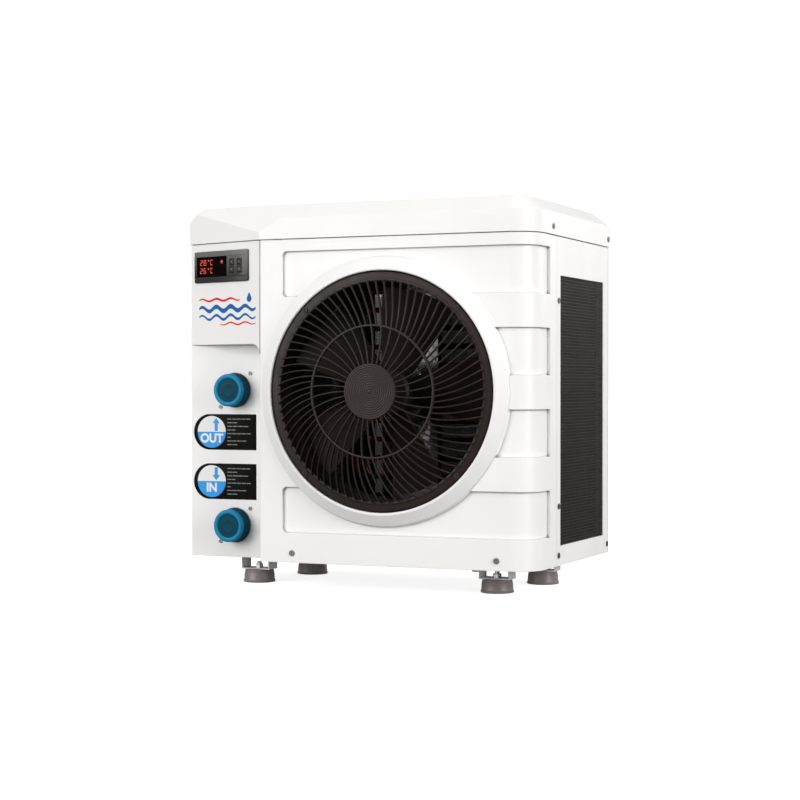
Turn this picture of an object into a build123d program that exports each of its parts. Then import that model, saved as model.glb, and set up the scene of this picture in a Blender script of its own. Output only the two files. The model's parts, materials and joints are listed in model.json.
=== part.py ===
from build123d import *
import math
import os

# Small pool and spa heat pump: a white casing on four rubber feet, with a fan behind a round guard,
# a finned coil round the right side and the rear, and the compressor and water side on the left.
#
# Frame: the origin is on the floor under the middle of the unit. The front faces -Y, +X is to the
# right of someone who looks at the front, and +Z is up. Lengths are millimetres.

# ---------------------------------------------------------------- driving dimensions

# Overall
unit_width = 488.0            # across the side walls of the lid
casing_depth = 297.0          # front panel to the rear edge of the lid
unit_height = 483.0           # floor to the top of the lid

# Lid
lid_height = 44.3             # seam to top
lid_wall_height = 27.3        # upright part of its side
lid_overhang = 1.5            # how far it stands out from the casing
lid_chamfer_run = 20.0        # level width of the sloping border
lid_thickness = 2.5
facet_start = 31.5            # where the sloping facet leaves the front crease, right of the column
facet_low = 9.2               # its height above the seam at the front edge of the column
facet_high = 36.8             # its height above the seam near the left end
facet_end = 17.0              # that point's distance from the left end

# Casing
corner_radius = 32.0          # front right corner
panel_thickness = 2.5         # moulded panels
sheet_thickness = 1.2         # folded steel
panel_return = 82.0           # how far the front panel wraps round the right side
seam_gap = 0.8                # shadow gap under the lid
joint_gap = 0.3               # between neighbouring panels
rear_inset = 1.5              # rear sheet, in front of the lid's rear edge
panel_lip = 0.8               # how far the panels hang below the base pan
tuck_depth = 14.0             # tongue of a side panel behind its neighbour

# Left column
column_width = 121.0
column_setback = 42.0         # the left end of the column, and the port bay, behind the front panel
column_return = 18.0          # its return along the left side
shelf_height = 272.9          # bottom of the panels to the underside of the controller fascia
bay_corner_radius = 13.0

# Recessed bands of the front panel
band_count = 4
band_height = 57.0
band_depth = 4.0
band_top_margin = 15.5
band_bottom_margin = 37.2
band_side_reach = 57.0        # how far they run back along the right side
band_left_margin = 31.5       # left end of the top and bottom bands, from the panel's left edge
band_corner_radius = 6.0

# Fan guard and its ring
guard_radius = 146.0
guard_flange_width = 12.0
guard_flange_thickness = 2.0
guard_flange_stand = 8.0      # outer face of its flange, in front of the panel
guard_dome_rise = 31.0
guard_hub_radius = 34.0
guard_hub_thickness = 5.0
guard_mid_radius = 80.0
guard_rib_count = 38          # from the hub; as many more start at the middle ring
guard_rib_width = 2.0
guard_rib_depth = 3.5
guard_rib_sweep = 15.5        # degrees, anticlockwise from the hub to the rim
guard_gap = 1.5               # guard to the ring round it
guard_shift = 14.0            # guard axis left of the panel's middle
guard_rise = 11.6             # guard axis above the panel's middle
ring_width = 20.0
ring_step = 3.0               # how far the ring's outer wall stands out from the panel
ring_rise = 10.0              # height of its inner edge

# Fan and motor
tip_gap = 7.0                 # impeller to duct
duct_length = 46.0
duct_thickness = 2.0
impeller_hub_radius = 30.0
impeller_hub_length = 24.0
impeller_start = 10.0         # front of its hub behind the front panel
blade_count = 5
blade_thickness = 2.0
shaft_radius = 4.0
running_clearance = 0.05
motor_radius = 38.0
motor_length = 54.0
motor_start = 50.0            # front of the motor behind the front panel
motor_wall = 3.0
rotor_radius = 20.0
rotor_gap = 0.5
bearing_radius = 11.0
bearing_length = 7.0
bracket_width = 62.0

# Feet
foot_radius = 20.8
foot_top_radius = 18.4
foot_height = 17.0
foot_pitch = 331.0            # left to right
foot_spread = 121.0           # front to rear
foot_front_inset = 90.0       # front pair behind the front panel
front_pair_shift = -3.0       # middle of the front pair from the unit's middle
rear_pair_shift = 15.2        # middle of the rear pair
stand_width = 40.0
stand_depth = 24.0
stand_height = 19.4
rim_height = 24.0             # upturned rim of the base pan
foot_bolt_radius = 3.0

# Grille windows
window_front = 95.7           # front edge of the side window behind the front panel
window_rear_margin = 24.3
window_bottom_margin = 24.4
window_top_margin = 47.9
mesh_pitch = 12.6
mesh_wire = 1.4
mesh_border = 4.0             # overlap of a mesh behind the sheet

# Evaporator
coil_inset = 22.0             # tube row from the side and rear sheets
coil_bend_radius = 40.0
coil_front = 90.0             # front end plate behind the front panel
fin_depth = 22.0
fin_thickness = 0.4
fin_pitch = 5.0
tube_radius = 3.8
tube_wall = 0.5
tube_pitch = 25.4
tube_count = 14
tube_overrun = 5.0
first_tube_height = 18.0      # lowest tube above the base pan
fin_hole_clearance = 0.15

# Water side
port_left_inset = 64.2        # port axes from the left side of the casing
inlet_height = 41.4           # inlet axis above the bottom of the panels
outlet_height = 214.7
spigot_radius = 18.75
spigot_wall = 2.75
spigot_reach = 17.5           # in front of the bay's wall
flange_width = 16.25
flange_thickness = 4.0
gasket_thickness = 1.5
port_screw_offset = 21.5
port_screw_head_radius = 2.5
cap_clearance = 0.45          # cap to spigot
cap_base_wall = 3.0
cap_front_wall = 1.3
cap_length = 21.0
cap_bore_depth = 18.2
cap_rim_width = 5.2           # raised rim round its sunk face
cap_face_recess = 1.2
exchanger_radius = 42.0
exchanger_wall = 4.0
exchanger_setback = 90.0      # its axis behind the bay's wall
exchanger_height = 238.0
exchanger_cap_height = 8.0
exchanger_cap_overlap = 3.0
titanium_coil_radius = 27.0
titanium_tube_radius = 5.0
titanium_leg_radius = 3.8
titanium_turns = 9.5
titanium_return_offset = 14.0  # upright end inside the turns, from the vessel's axis
titanium_pitch = 15.0
union_wall = 4.25
union_length = 12.0

# Flow switch, between the outlet port and the vessel
switch_tower_radius = 11.0
switch_tower_bore = 9.0
switch_tower_height = 22.0    # above the pipe's outside
switch_pin_height = 32.0      # above the pipe's axis
switch_pin_radius = 1.5
paddle_width = 11.0
paddle_thickness = 1.2
paddle_drop = 34.0            # pin to the paddle's lower end

# Refrigerant side
compressor_radius = 44.0
compressor_height = 158.0
compressor_lift = 20.0
compressor_setback = 188.0    # its axis behind the bay's wall
accumulator_radius = 15.0
accumulator_height = 120.0
pipe_radius = 4.0
pipe_wall = 0.8
pipe_bend = 12.0
valve_radius = 10.0
valve_length = 62.0
valve_port_pitch = 18.0
valve_stub = 6.0
expansion_length = 44.0

# Electrical side
box_height = 88.0
box_top_gap = 14.0
controller_width = 100.5
controller_height = 40.0
controller_start = 19.3       # its right edge from the front edge of the column, along the slope
controller_top = 10.4         # its top edge below the seam
controller_rise = 3.0
controller_depth = 22.0
display_start = 38.8          # left end of the display window, from the controller's right edge
display_width = 57.0
display_height = 26.0
key_size = 8.0
key_pitch_x = 14.0
key_pitch_z = 9.6
key_inset = 14.2              # middle of the right keys from the controller's right edge
key_travel = 0.6
key_gap = 0.3
badge_width = 108.0
badge_height = 40.0
label_width = 91.0
label_height = 46.0
label_thickness = 0.5
gland_bore_radius = 4.5
gland_radius = 9.0
gland_length = 26.0

# Drain
spout_radius = 8.0
spout_bore_radius = 6.0
spout_length = 20.0
spout_shift = 60.0            # its axis right of the guard's axis
spout_setback = 170.0         # its axis behind the front panel

# Screws
screw_radius = 2.0
screw_head_radius = 3.6
screw_head_height = 1.2
screw_length = 8.0

# ---------------------------------------------------------------- derived places

casing_width = unit_width - 2 * lid_overhang
right_x = casing_width / 2
left_x = -right_x
guard_reach = guard_flange_stand + guard_dome_rise
front_y = guard_reach - (casing_depth + guard_reach) / 2
lid_rear_y = front_y + casing_depth
rear_y = lid_rear_y - rear_inset
bay_y = front_y + column_setback
column_x = left_x + column_width
slope = math.atan2(column_setback, column_width)

base_z = foot_height + stand_height
panel_z = base_z - panel_lip
seam_z = unit_height - lid_height
panel_top_z = seam_z - seam_gap
crease_z = seam_z + lid_wall_height
shelf_z = panel_z + shelf_height
floor_z = base_z + sheet_thickness

guard_x = (column_x + right_x) / 2 - guard_shift
guard_z = (panel_z + seam_z) / 2 + guard_rise
ring_radius = guard_radius + ring_width
ring_bore = guard_radius + guard_gap
duct_radius = guard_radius - guard_flange_width
impeller_radius = duct_radius - tip_gap
motor_end = motor_start + motor_length
pan_inset = panel_thickness + joint_gap
partition_x = column_x + 18.0
panel_back_y = bay_y + panel_thickness

port_x = left_x + port_left_inset
spigot_bore_radius = spigot_radius - spigot_wall
flange_radius = spigot_radius + flange_width
union_radius = spigot_radius + union_wall
cap_bore_radius = spigot_radius + cap_clearance
cap_base_radius = cap_bore_radius + cap_base_wall
cap_front_radius = cap_bore_radius + cap_front_wall
cap_face_radius = cap_front_radius - cap_rim_width
inlet_z = panel_z + inlet_height
outlet_z = panel_z + outlet_height

window_front_y = front_y + window_front
window_rear_y = front_y + casing_depth - window_rear_margin
window_low_z = panel_z + window_bottom_margin
window_high_z = seam_z - window_top_margin
rear_window_left_x = partition_x + 30.0
rear_window_right_x = right_x - 30.0

coil_x = right_x - coil_inset
coil_y = rear_y - coil_inset
coil_front_y = front_y + coil_front
coil_end_x = partition_x + tube_overrun + tube_pitch / 2 + tube_radius + 3.0
coil_tube_end_x = coil_end_x - tube_overrun
first_tube_z = floor_z + first_tube_height
last_tube_z = first_tube_z + (tube_count - 1) * tube_pitch

exchanger_y = bay_y + exchanger_setback
exchanger_z = floor_z + 6.0
exchanger_top_z = exchanger_z + exchanger_height
joint_y = exchanger_y - exchanger_radius - 8.0
gasket_y = panel_back_y
flange_y = gasket_y + gasket_thickness
tail_y = flange_y + flange_thickness
switch_y = tail_y + 12.0

compressor_x = port_x - titanium_coil_radius + valve_port_pitch
compressor_y = bay_y + compressor_setback
compressor_z = floor_z + compressor_lift
compressor_top_z = compressor_z + compressor_height
accumulator_x = partition_x - 4.0 - accumulator_radius
accumulator_z = compressor_z + 30.0
accumulator_top_z = accumulator_z + accumulator_height
valve_z = compressor_top_z + 46.0
valve_low_z = valve_z - valve_radius - valve_stub
valve_high_z = valve_z + valve_radius + valve_stub
leg_top_z = exchanger_top_z + exchanger_cap_height + 4.0
liquid_x = partition_x - sheet_thickness - 6.0
expansion_z = (first_tube_z + valve_z) / 2
suction_z = valve_high_z + 26.0

box_top_z = panel_top_z - box_top_gap
box_z = box_top_z - box_height
box_front_y = bay_y + 36.0
box_rear_y = rear_y - 46.0
box_left_x = left_x + 8.0
box_right_x = partition_x - 5.0
board_z = box_z + 9.0
board_front_y = box_front_y + 8.0
board_rear_y = box_rear_y - 52.0
gland_y = rear_y - 40.0
gland_z = box_z - 20.0
spout_x = guard_x + spout_shift
spout_y = front_y + spout_setback
controller_middle = controller_start + controller_width / 2
controller_drop = controller_top + controller_height / 2
display_middle = controller_start + display_start + display_width / 2


# ---------------------------------------------------------------- helpers

def block(x0, x1, y0, y1, z0, z1):
    """Box between two corners."""
    size = Box(x1 - x0, y1 - y0, z1 - z0)
    return Pos((x0 + x1) / 2, (y0 + y1) / 2, (z0 + z1) / 2) * size


def rod(start, end, radius):
    """Cylinder from one point to another."""
    a = Vector(start)
    b = Vector(end)
    plane = Plane(origin=a, z_dir=(b - a).normalized())
    return plane.location * Cylinder(radius, (b - a).length, align=(Align.CENTER, Align.CENTER, Align.MIN))


def hollow_rod(start, end, radius, bore):
    """Tube from one point to another."""
    return rod(start, end, radius) - rod(start, end, bore)


def turned(points):
    """Solid of revolution about Z from (radius, height) points."""
    corners = [(r, 0, h) for r, h in points]
    outline = Polyline(*corners, close=True)
    return revolve(make_face(outline.edges()), Axis.Z, 360)


def upright(points, z0, z1):
    """Prism on an outline of (x, y) points, between two heights."""
    outline = Polyline(*points, close=True)
    face = make_face(outline.edges())
    return Pos(0, 0, z0) * extrude(face, amount=z1 - z0, dir=(0, 0, 1))


def rounded_outline(x0, x1, y0, y1, radius, z):
    """Rectangle at height z whose front right corner is rounded."""
    centre_x = x1 - radius
    centre_y = y0 + radius
    half = radius * math.sqrt(0.5)
    sides = Polyline((x1, centre_y, z), (x1, y1, z), (x0, y1, z), (x0, y0, z), (centre_x, y0, z))
    corner = ThreePointArc((centre_x, y0, z), (centre_x + half, centre_y - half, z), (x1, centre_y, z))
    return make_face(sides.edges() + corner.edges())


def rounded_block(x0, x1, y0, y1, z0, z1, radius):
    """Upright block whose front right edge is rounded."""
    return extrude(rounded_outline(x0, x1, y0, y1, radius, z0), amount=z1 - z0, dir=(0, 0, 1))


def rounded_bar(x0, x1, z0, z1, y0, y1, radius):
    """Bar along Y whose left corners, seen from the front, are rounded."""
    bar = block(x0, x1, y0, y1, z0, z1)
    edges = [edge for edge in bar.edges().filter_by(Axis.Y) if edge.center().X < x0 + 0.1]
    return fillet(edges, radius)


def pipe(points, radius, bore, bend):
    """Tube with round bends along a route of straight runs."""
    path = FilletPolyline(*points, radius=bend) if len(points) > 2 else Line(*points)
    start = Plane(origin=path @ 0, z_dir=path % 0)
    section = start * (Circle(radius) - Circle(bore))
    return sweep(section, path=path)


def screw(place, direction, head_radius=screw_head_radius):
    """Pan-head screw: the head stands on the surface, and the shank goes in against direction."""
    a = Vector(place)
    out = Vector(direction).normalized()
    head = rod(a, a + out * screw_head_height, head_radius)
    slot = Plane(origin=a + out * screw_head_height, z_dir=out).location * Box(
        head_radius * 1.3, 0.8, screw_head_height
    )
    shank = rod(a - out * screw_length, a, screw_radius)
    return (head - slot) + shank


def screw_hole(place, direction):
    """Clearance hole for a screw, through one sheet."""
    a = Vector(place)
    out = Vector(direction).normalized()
    return rod(a - out * (screw_length + 1), a + out, screw_radius + 0.2)


def column_line(x, out):
    """Y of the column's sloping face at x, moved outwards by out."""
    return front_y + (column_x - x) * math.tan(slope) - out / math.cos(slope)


def column_corner(out):
    """X where the front face moved outwards by out meets the sloping face."""
    return column_x - out * (1 / math.cos(slope) - 1) / math.tan(slope)


front_plane = Plane(origin=(guard_x, front_y, guard_z), x_dir=(1, 0, 0), z_dir=(0, -1, 0))
slope_plane = Plane(
    origin=(column_x, front_y, seam_z),
    x_dir=(-math.cos(slope), math.sin(slope), 0),
    z_dir=(-math.sin(slope), -math.cos(slope), 0),
)


def on_slope(along, height, width, tall, low, high):
    """Block on the sloping face: along it from the front edge, height above the seam, out of it."""
    slab = Box(width, tall, high - low)
    return slope_plane.location * Pos(along, -height, (low + high) / 2) * slab


# ---------------------------------------------------------------- screw places

front_screws = [((x, front_y, panel_z + 12.0), (0, -1, 0)) for x in (column_x + 45.0, right_x - 48.0)]
side_heights = (panel_z + 13.0, panel_z + 73.0, panel_z + 324.0)
side_screws = [((right_x, front_y + panel_return + 6.5, z), (1, 0, 0)) for z in side_heights]
side_screws.append(((right_x, rear_y - 6.0, panel_z + 12.0), (1, 0, 0)))
left_screws = [((left_x, bay_y + column_return + 6.5, z), (-1, 0, 0)) for z in side_heights]
rear_xs = (left_x + 10.0, partition_x + 6.0, right_x - 10.0)
rear_screws = [((x, rear_y, z), (0, 1, 0)) for x in rear_xs for z in (panel_z + 12.0, panel_top_z - 14.0)]
lid_screws = [
    ((side * (right_x + lid_overhang), y, seam_z + 9.8), (side, 0, 0))
    for side in (1, -1)
    for y in (front_y + 64.0, lid_rear_y - 7.0)
]
port_screws = [
    ((port_x + side * port_screw_offset, bay_y, z + side * port_screw_offset), (0, -1, 0))
    for z in (inlet_z, outlet_z)
    for side in (1, -1)
]
casing_screw_places = front_screws + side_screws + left_screws + rear_screws + lid_screws
guard_screw_radius = guard_radius - screw_head_radius - 0.15
guard_screws = []
for turn in (45, 135, 225, 315):
    angle = math.radians(turn)
    place = (
        guard_x + guard_screw_radius * math.cos(angle),
        front_y - guard_flange_stand,
        guard_z + guard_screw_radius * math.sin(angle),
    )
    guard_screws.append((place, (0, -1, 0)))


# ---------------------------------------------------------------- feet and base

def foot_places():
    """Plan places of the four feet."""
    places = []
    for shift, y in ((front_pair_shift, front_y + foot_front_inset),
                     (rear_pair_shift, front_y + foot_front_inset + foot_spread)):
        places.append((shift - foot_pitch / 2, y))
        places.append((shift + foot_pitch / 2, y))
    return places


def rubber_feet():
    """Tapered rubber feet with a pocket for the bolt head."""
    foot = turned([
        (6.5, 0), (foot_radius - 1, 0), (foot_radius, 1), (foot_top_radius, foot_height),
        (foot_bolt_radius + 0.1, foot_height), (foot_bolt_radius + 0.1, 6), (6.5, 6),
    ])
    return [Pos(x, y, 0) * foot for x, y in foot_places()]


def foot_stands():
    """Short box channels between the feet and the base pan."""
    low = foot_height
    stands = []
    for x, y in foot_places():
        half = stand_width / 2
        outer = block(x - half, x + half, y - stand_depth / 2, y + stand_depth / 2, low, base_z)
        inner = block(x - half + 1.5, x + half - 1.5, y - stand_depth, y + stand_depth,
                      low + 1.5, base_z - 1.5)
        hole = rod((x, y, low - 1), (x, y, low + 3), foot_bolt_radius + 0.1)
        stands.append(outer - inner - hole)
    return stands


def foot_bolts():
    """Hexagon bolts up through the feet, each with its nut inside the stand."""
    bolts = []
    top = foot_height + 1.5
    for x, y in foot_places():
        head = Pos(x, y, 2) * extrude(RegularPolygon(5.6, 6), amount=4, dir=(0, 0, 1))
        shank = rod((x, y, 6), (x, y, top + 8), foot_bolt_radius)
        nut = Pos(x, y, top) * extrude(RegularPolygon(5.6, 6), amount=5, dir=(0, 0, 1))
        bolts.append(head + shank + nut)
    return bolts


def pan_plan(inset, z0, z1):
    """Prism on the casing's plan, moved inwards by inset, without the port bay."""
    body = rounded_block(
        left_x + inset, right_x - inset, front_y + inset, rear_y - inset, z0, z1, corner_radius - inset
    )
    bay = block(left_x - 1, column_x + panel_thickness + joint_gap + inset - pan_inset,
                front_y - 1, bay_y + inset, z0 - 1, z1 + 1)
    return body - bay


def base_pan():
    """Folded tray with an upturned rim and a drain hole."""
    tray = pan_plan(pan_inset, base_z, base_z + rim_height)
    tray -= pan_plan(pan_inset + sheet_thickness, floor_z, base_z + rim_height + 1)
    tray -= rod((port_x, bay_y, inlet_z), (port_x, tail_y + 1, inlet_z), flange_radius + 1)
    for place, direction in front_screws + side_screws + left_screws + rear_screws:
        if place[2] < base_z + rim_height:
            tray -= screw_hole(place, direction)
    return tray - rod((spout_x, spout_y, base_z - 1), (spout_x, spout_y, floor_z + 1), spout_radius)


def drain_spout():
    """Drain spout, snapped up through the base pan."""
    above = sheet_thickness + 1.5
    barb = turned([
        (spout_bore_radius, -spout_length), (spout_radius, -spout_length), (spout_radius, -2),
        (spout_radius + 4, -2), (spout_radius + 4, 0), (spout_radius, 0), (spout_radius, sheet_thickness),
        (spout_radius + 1.5, sheet_thickness), (spout_radius + 1.5, above), (spout_bore_radius, above),
    ])
    return Pos(spout_x, spout_y, base_z) * barb


# ---------------------------------------------------------------- front panel

def panel_body(inset, y_end):
    """Front panel block, moved inwards by inset from its front and right faces."""
    return rounded_block(
        column_x + inset, right_x - inset, front_y + inset, y_end, panel_z, panel_top_z,
        corner_radius - inset,
    )


def band_spans():
    """Left end, low edge and high edge of each recessed band, from the top."""
    usable = panel_top_z + seam_gap - panel_z - band_top_margin - band_bottom_margin
    gap = (usable - band_count * band_height) / (band_count - 1)
    spans = []
    for index in range(band_count):
        high = seam_z - band_top_margin - index * (band_height + gap)
        outer = index in (0, band_count - 1)
        left = column_x + band_left_margin if outer else guard_x
        spans.append((left, high - band_height, high))
    return spans


def band_bars(grow):
    """Bars that cover the bands, grown all round."""
    return [
        rounded_bar(left - grow, right_x + 5, low - grow, high + grow, front_y - 5,
                    front_y + band_side_reach + grow, band_corner_radius + grow)
        for left, low, high in band_spans()
    ]


def front_panel():
    """Moulded panel with recessed bands, a raised ring and returns at both sides."""
    y_end = front_y + panel_return
    core = rounded_block(column_x + panel_thickness, right_x - panel_thickness,
                         front_y + panel_thickness, y_end + 1, panel_z - 1, panel_top_z + 1,
                         corner_radius - panel_thickness)
    deep = rounded_block(column_x + panel_thickness, right_x - panel_thickness - band_depth,
                         front_y + panel_thickness + band_depth, y_end + 2, panel_z - 2,
                         panel_top_z + 2, corner_radius - panel_thickness - band_depth)
    shallow = panel_body(0, y_end + 2)
    recess_floor = rounded_block(column_x, right_x - band_depth, front_y + band_depth, y_end + 2,
                                 panel_z - 1, panel_top_z + 1, corner_radius - band_depth)
    for bar in band_bars(panel_thickness):
        core -= bar - deep
    shell = panel_body(0, y_end) - core
    for bar in band_bars(0):
        shell -= (bar & shallow) - recess_floor
    shell -= block(column_x - 1, column_x + panel_thickness + 0.01, panel_back_y, y_end + 1,
                   panel_z - 1, panel_top_z + 1)
    shell -= front_plane.location * Cylinder(ring_radius - 1.5, 60)
    left_edges = [
        edge for edge in shell.edges().filter_by(Axis.Z)
        if abs(edge.center().X - column_x) < 0.01 and abs(edge.center().Y - front_y) < 0.01
    ]
    shell = fillet(left_edges, 2.0)
    shell += front_plane.location * guard_ring()
    for place, direction in front_screws:
        shell -= screw_hole(place, direction)
    return shell


def guard_ring():
    """Raised ring round the guard, hollow at the back."""
    back = -(band_depth + panel_thickness)
    wall = panel_thickness
    return turned([
        (ring_bore, back), (ring_bore, ring_rise - 1), (ring_bore + 1, ring_rise),
        (ring_bore + 3, ring_rise), (ring_radius - 3.5, ring_step), (ring_radius - 2, ring_step - 1),
        (ring_radius, -band_depth), (ring_radius, back), (ring_radius - wall, back),
        (ring_radius - 3 - wall, ring_step - wall - 1), (ring_bore + 3.5, ring_rise - wall - 0.5),
        (ring_bore + wall, ring_rise - wall - 0.5), (ring_bore + wall, back),
    ])


# ---------------------------------------------------------------- left column

def column_plan(inset, z0, z1):
    """Prism on the column's plan, moved inwards by inset from the sloping and left faces."""
    end_y = bay_y + column_return
    x_end = left_x + inset
    points = [
        (column_x, column_line(column_x, -inset)), (column_x, end_y + inset),
        (x_end, end_y + inset), (x_end, column_line(x_end, -inset)),
    ]
    return upright(points, z0, z1)


def bay(grow):
    """The recess of the port bay, grown all round, with its rounded upper corner."""
    prism = block(left_x - 5, column_x + grow, front_y - 20, bay_y + grow, panel_z - 5, shelf_z + grow)
    corner = [
        edge for edge in prism.edges().filter_by(Axis.Y)
        if edge.center().X > column_x - 0.1 and edge.center().Z > shelf_z - 0.1
    ]
    return fillet(corner, bay_corner_radius)


def controller_cutout():
    """Hole in the sloping face for the controller's housing."""
    return on_slope(controller_middle, -controller_drop, controller_width - 8, controller_height - 8, -20, 5)


def control_fascia():
    """Moulded left column: sloping controller fascia above, recessed port bay below."""
    outer = column_plan(0, panel_z, panel_top_z) - bay(0)
    inner = column_plan(panel_thickness, panel_z - 1, panel_top_z + 1) - bay(panel_thickness)
    body = outer - inner - controller_cutout()
    for z in (inlet_z, outlet_z):
        body -= rod((port_x, bay_y - 1, z), (port_x, panel_back_y + 1, z), spigot_radius + 0.4)
    for place, direction in port_screws:
        body -= screw_hole(place, direction)
    return body


# ---------------------------------------------------------------- lid

def lid_block(inset, top_drop, z0):
    """Chamfered block with a rounded front right corner."""
    out = lid_overhang - inset
    x0 = left_x - out
    x1 = right_x + out
    y0 = front_y - out
    y1 = lid_rear_y - inset
    run = lid_chamfer_run
    radius = corner_radius + out
    low = rounded_block(x0, x1, y0, y1, z0, crease_z - top_drop / 2, radius)
    base = rounded_outline(x0, x1, y0, y1, radius, crease_z - top_drop / 2)
    top = rounded_outline(x0 + run, x1 - run, y0 + run, y1 - run, radius - run, unit_height - top_drop)
    return low + loft([base, top], ruled=True)


def lid_column_cut(inset, z0):
    """Prism that removes what stands in front of the sloping face."""
    out = lid_overhang - inset
    x_end = left_x - 20
    points = [
        (column_corner(out), front_y - out), (column_corner(out), front_y - out - 20),
        (x_end, front_y - out - 20), (x_end, column_line(x_end, out)),
    ]
    return upright(points, z0 - 1, unit_height + 1)


def lid_facet(inset):
    """Half space in front of the sloping facet over the column."""
    y = front_y - lid_overhang
    x_far = left_x + facet_end
    near = Vector(column_x, y, seam_z + facet_low)
    right = Vector(column_x + facet_start, y, crease_z)
    far = Vector(x_far, column_line(x_far, lid_overhang), seam_z + facet_high)
    normal = (far - near).cross(right - near).normalized()
    if normal.Y > 0:
        normal = -normal
    plane = Plane(origin=near - normal * inset, z_dir=normal)
    return plane.location * Pos(0, 0, 200) * Box(900, 900, 400)


def top_cover():
    """Chamfered lid, hollow underneath."""
    outer = lid_block(0, 0, seam_z) - lid_column_cut(0, seam_z) - lid_facet(0)
    inner = lid_block(lid_thickness, lid_thickness, seam_z - 1)
    inner = inner - lid_column_cut(lid_thickness, seam_z - 2) - lid_facet(lid_thickness)
    body = outer - inner
    for place, direction in lid_screws:
        body -= screw_hole(place, direction)
    return body


# ---------------------------------------------------------------- side and rear panels

def window(y0, y1):
    """Opening along X for the side grille."""
    return block(right_x - 30, right_x + 5, y0, y1, window_low_z, window_high_z)


def right_side_panel():
    """Folded sheet with a tongue behind the front panel's return, a window and a rear fold."""
    y0 = front_y + panel_return + joint_gap
    y1 = rear_y - sheet_thickness - joint_gap
    tongue_x = right_x - panel_thickness - joint_gap
    body = block(right_x - sheet_thickness, right_x, y0, y1, panel_z, panel_top_z)
    body += block(tongue_x - sheet_thickness, right_x, y0, y0 + sheet_thickness, panel_z, panel_top_z)
    body += block(tongue_x - sheet_thickness, tongue_x, y0 - tuck_depth, y0 + sheet_thickness,
                  base_z + rim_height + 1, panel_top_z)
    body += block(right_x - 16, right_x, y1 - sheet_thickness, y1, base_z + rim_height + 1, panel_top_z)
    body -= block(right_x - 20, right_x - sheet_thickness, y0 - 1, y0 + sheet_thickness + 1,
                  panel_z - 1, base_z + rim_height + 1)
    body -= window(window_front_y, window_rear_y)
    for place, direction in side_screws + rear_screws:
        body -= screw_hole(place, direction)
    return body


def left_side_panel():
    """Folded sheet that closes the technical side, with a hole for the cable gland."""
    y0 = bay_y + column_return + joint_gap
    y1 = rear_y - sheet_thickness - joint_gap
    tongue_x = left_x + panel_thickness + joint_gap
    body = block(left_x, left_x + sheet_thickness, y0, y1, panel_z, panel_top_z)
    body += block(left_x, tongue_x + sheet_thickness, y0, y0 + sheet_thickness,
                  base_z + rim_height + 1, panel_top_z)
    body += block(tongue_x, tongue_x + sheet_thickness, y0 - 10, y0 + sheet_thickness,
                  base_z + rim_height + 1, panel_top_z)
    body += block(left_x, left_x + 16, y1 - sheet_thickness, y1, base_z + rim_height + 1, panel_top_z)
    body -= rod((left_x - 1, gland_y, gland_z), (left_x + 5, gland_y, gland_z), gland_radius + 0.2)
    for place, direction in left_screws + rear_screws:
        body -= screw_hole(place, direction)
    return body


def rear_panel():
    """Flat sheet across the back with the rear grille window."""
    body = block(left_x, right_x, rear_y - sheet_thickness, rear_y, panel_z, panel_top_z)
    body -= block(rear_window_left_x, rear_window_right_x, rear_y - 5, rear_y + 5,
                  window_low_z, window_high_z)
    for row in range(6):
        z = panel_top_z - 60 - row * 12.0
        body -= block(left_x + 30, partition_x - 20, rear_y - 5, rear_y + 5, z, z + 4)
    for place, direction in rear_screws:
        body -= screw_hole(place, direction)
    return body


def mesh_sheet(length, height):
    """Welded wire mesh lying in XY, centred, with a border."""
    across = max(2, round((length - mesh_wire) / mesh_pitch))
    up = max(2, round((height - mesh_wire) / mesh_pitch))
    step_x = (length - mesh_wire) / across
    step_y = (height - mesh_wire) / up
    outline = Wire.make_rect(length, height)
    hole = Wire.make_rect(step_x - mesh_wire, step_y - mesh_wire)
    holes = [
        Pos((i - (across - 1) / 2) * step_x, (j - (up - 1) / 2) * step_y) * hole
        for i in range(across)
        for j in range(up)
    ]
    return extrude(Face(outline, holes), amount=mesh_wire, dir=(0, 0, 1))


def side_grille_mesh():
    """Mesh inside the side window, against the sheet."""
    length = window_rear_y - window_front_y + 2 * mesh_border
    height = window_high_z - window_low_z + 2 * mesh_border
    place = Plane(
        origin=(right_x - sheet_thickness - mesh_wire, (window_front_y + window_rear_y) / 2,
                (window_low_z + window_high_z) / 2),
        x_dir=(0, 1, 0), z_dir=(1, 0, 0),
    )
    return place.location * mesh_sheet(length, height)


def rear_grille_mesh():
    """Mesh inside the rear window, against the sheet."""
    length = rear_window_right_x - rear_window_left_x + 2 * mesh_border
    height = window_high_z - window_low_z + 2 * mesh_border
    place = Plane(
        origin=((rear_window_left_x + rear_window_right_x) / 2, rear_y - sheet_thickness - mesh_wire,
                (window_low_z + window_high_z) / 2),
        x_dir=(-1, 0, 0), z_dir=(0, 1, 0),
    )
    return place.location * mesh_sheet(length, height)


def partition_panel():
    """Upright sheet between the fan side and the technical side."""
    body = block(partition_x - sheet_thickness, partition_x, front_y + panel_thickness + band_depth + 1,
                 rear_y - sheet_thickness - 4, floor_z, panel_top_z)
    for z in (first_tube_z, last_tube_z):
        body -= rod((partition_x - 5, coil_y, z), (partition_x + 5, coil_y, z), pipe_radius + 3)
    rim = pan_inset + sheet_thickness + 0.5
    body -= block(partition_x - 5, partition_x + 5, front_y, front_y + rim, base_z, base_z + rim_height + 1)
    body -= block(partition_x - 5, partition_x + 5, rear_y - rim, rear_y, base_z, base_z + rim_height + 1)
    return body


# ---------------------------------------------------------------- fan guard and duct

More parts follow.
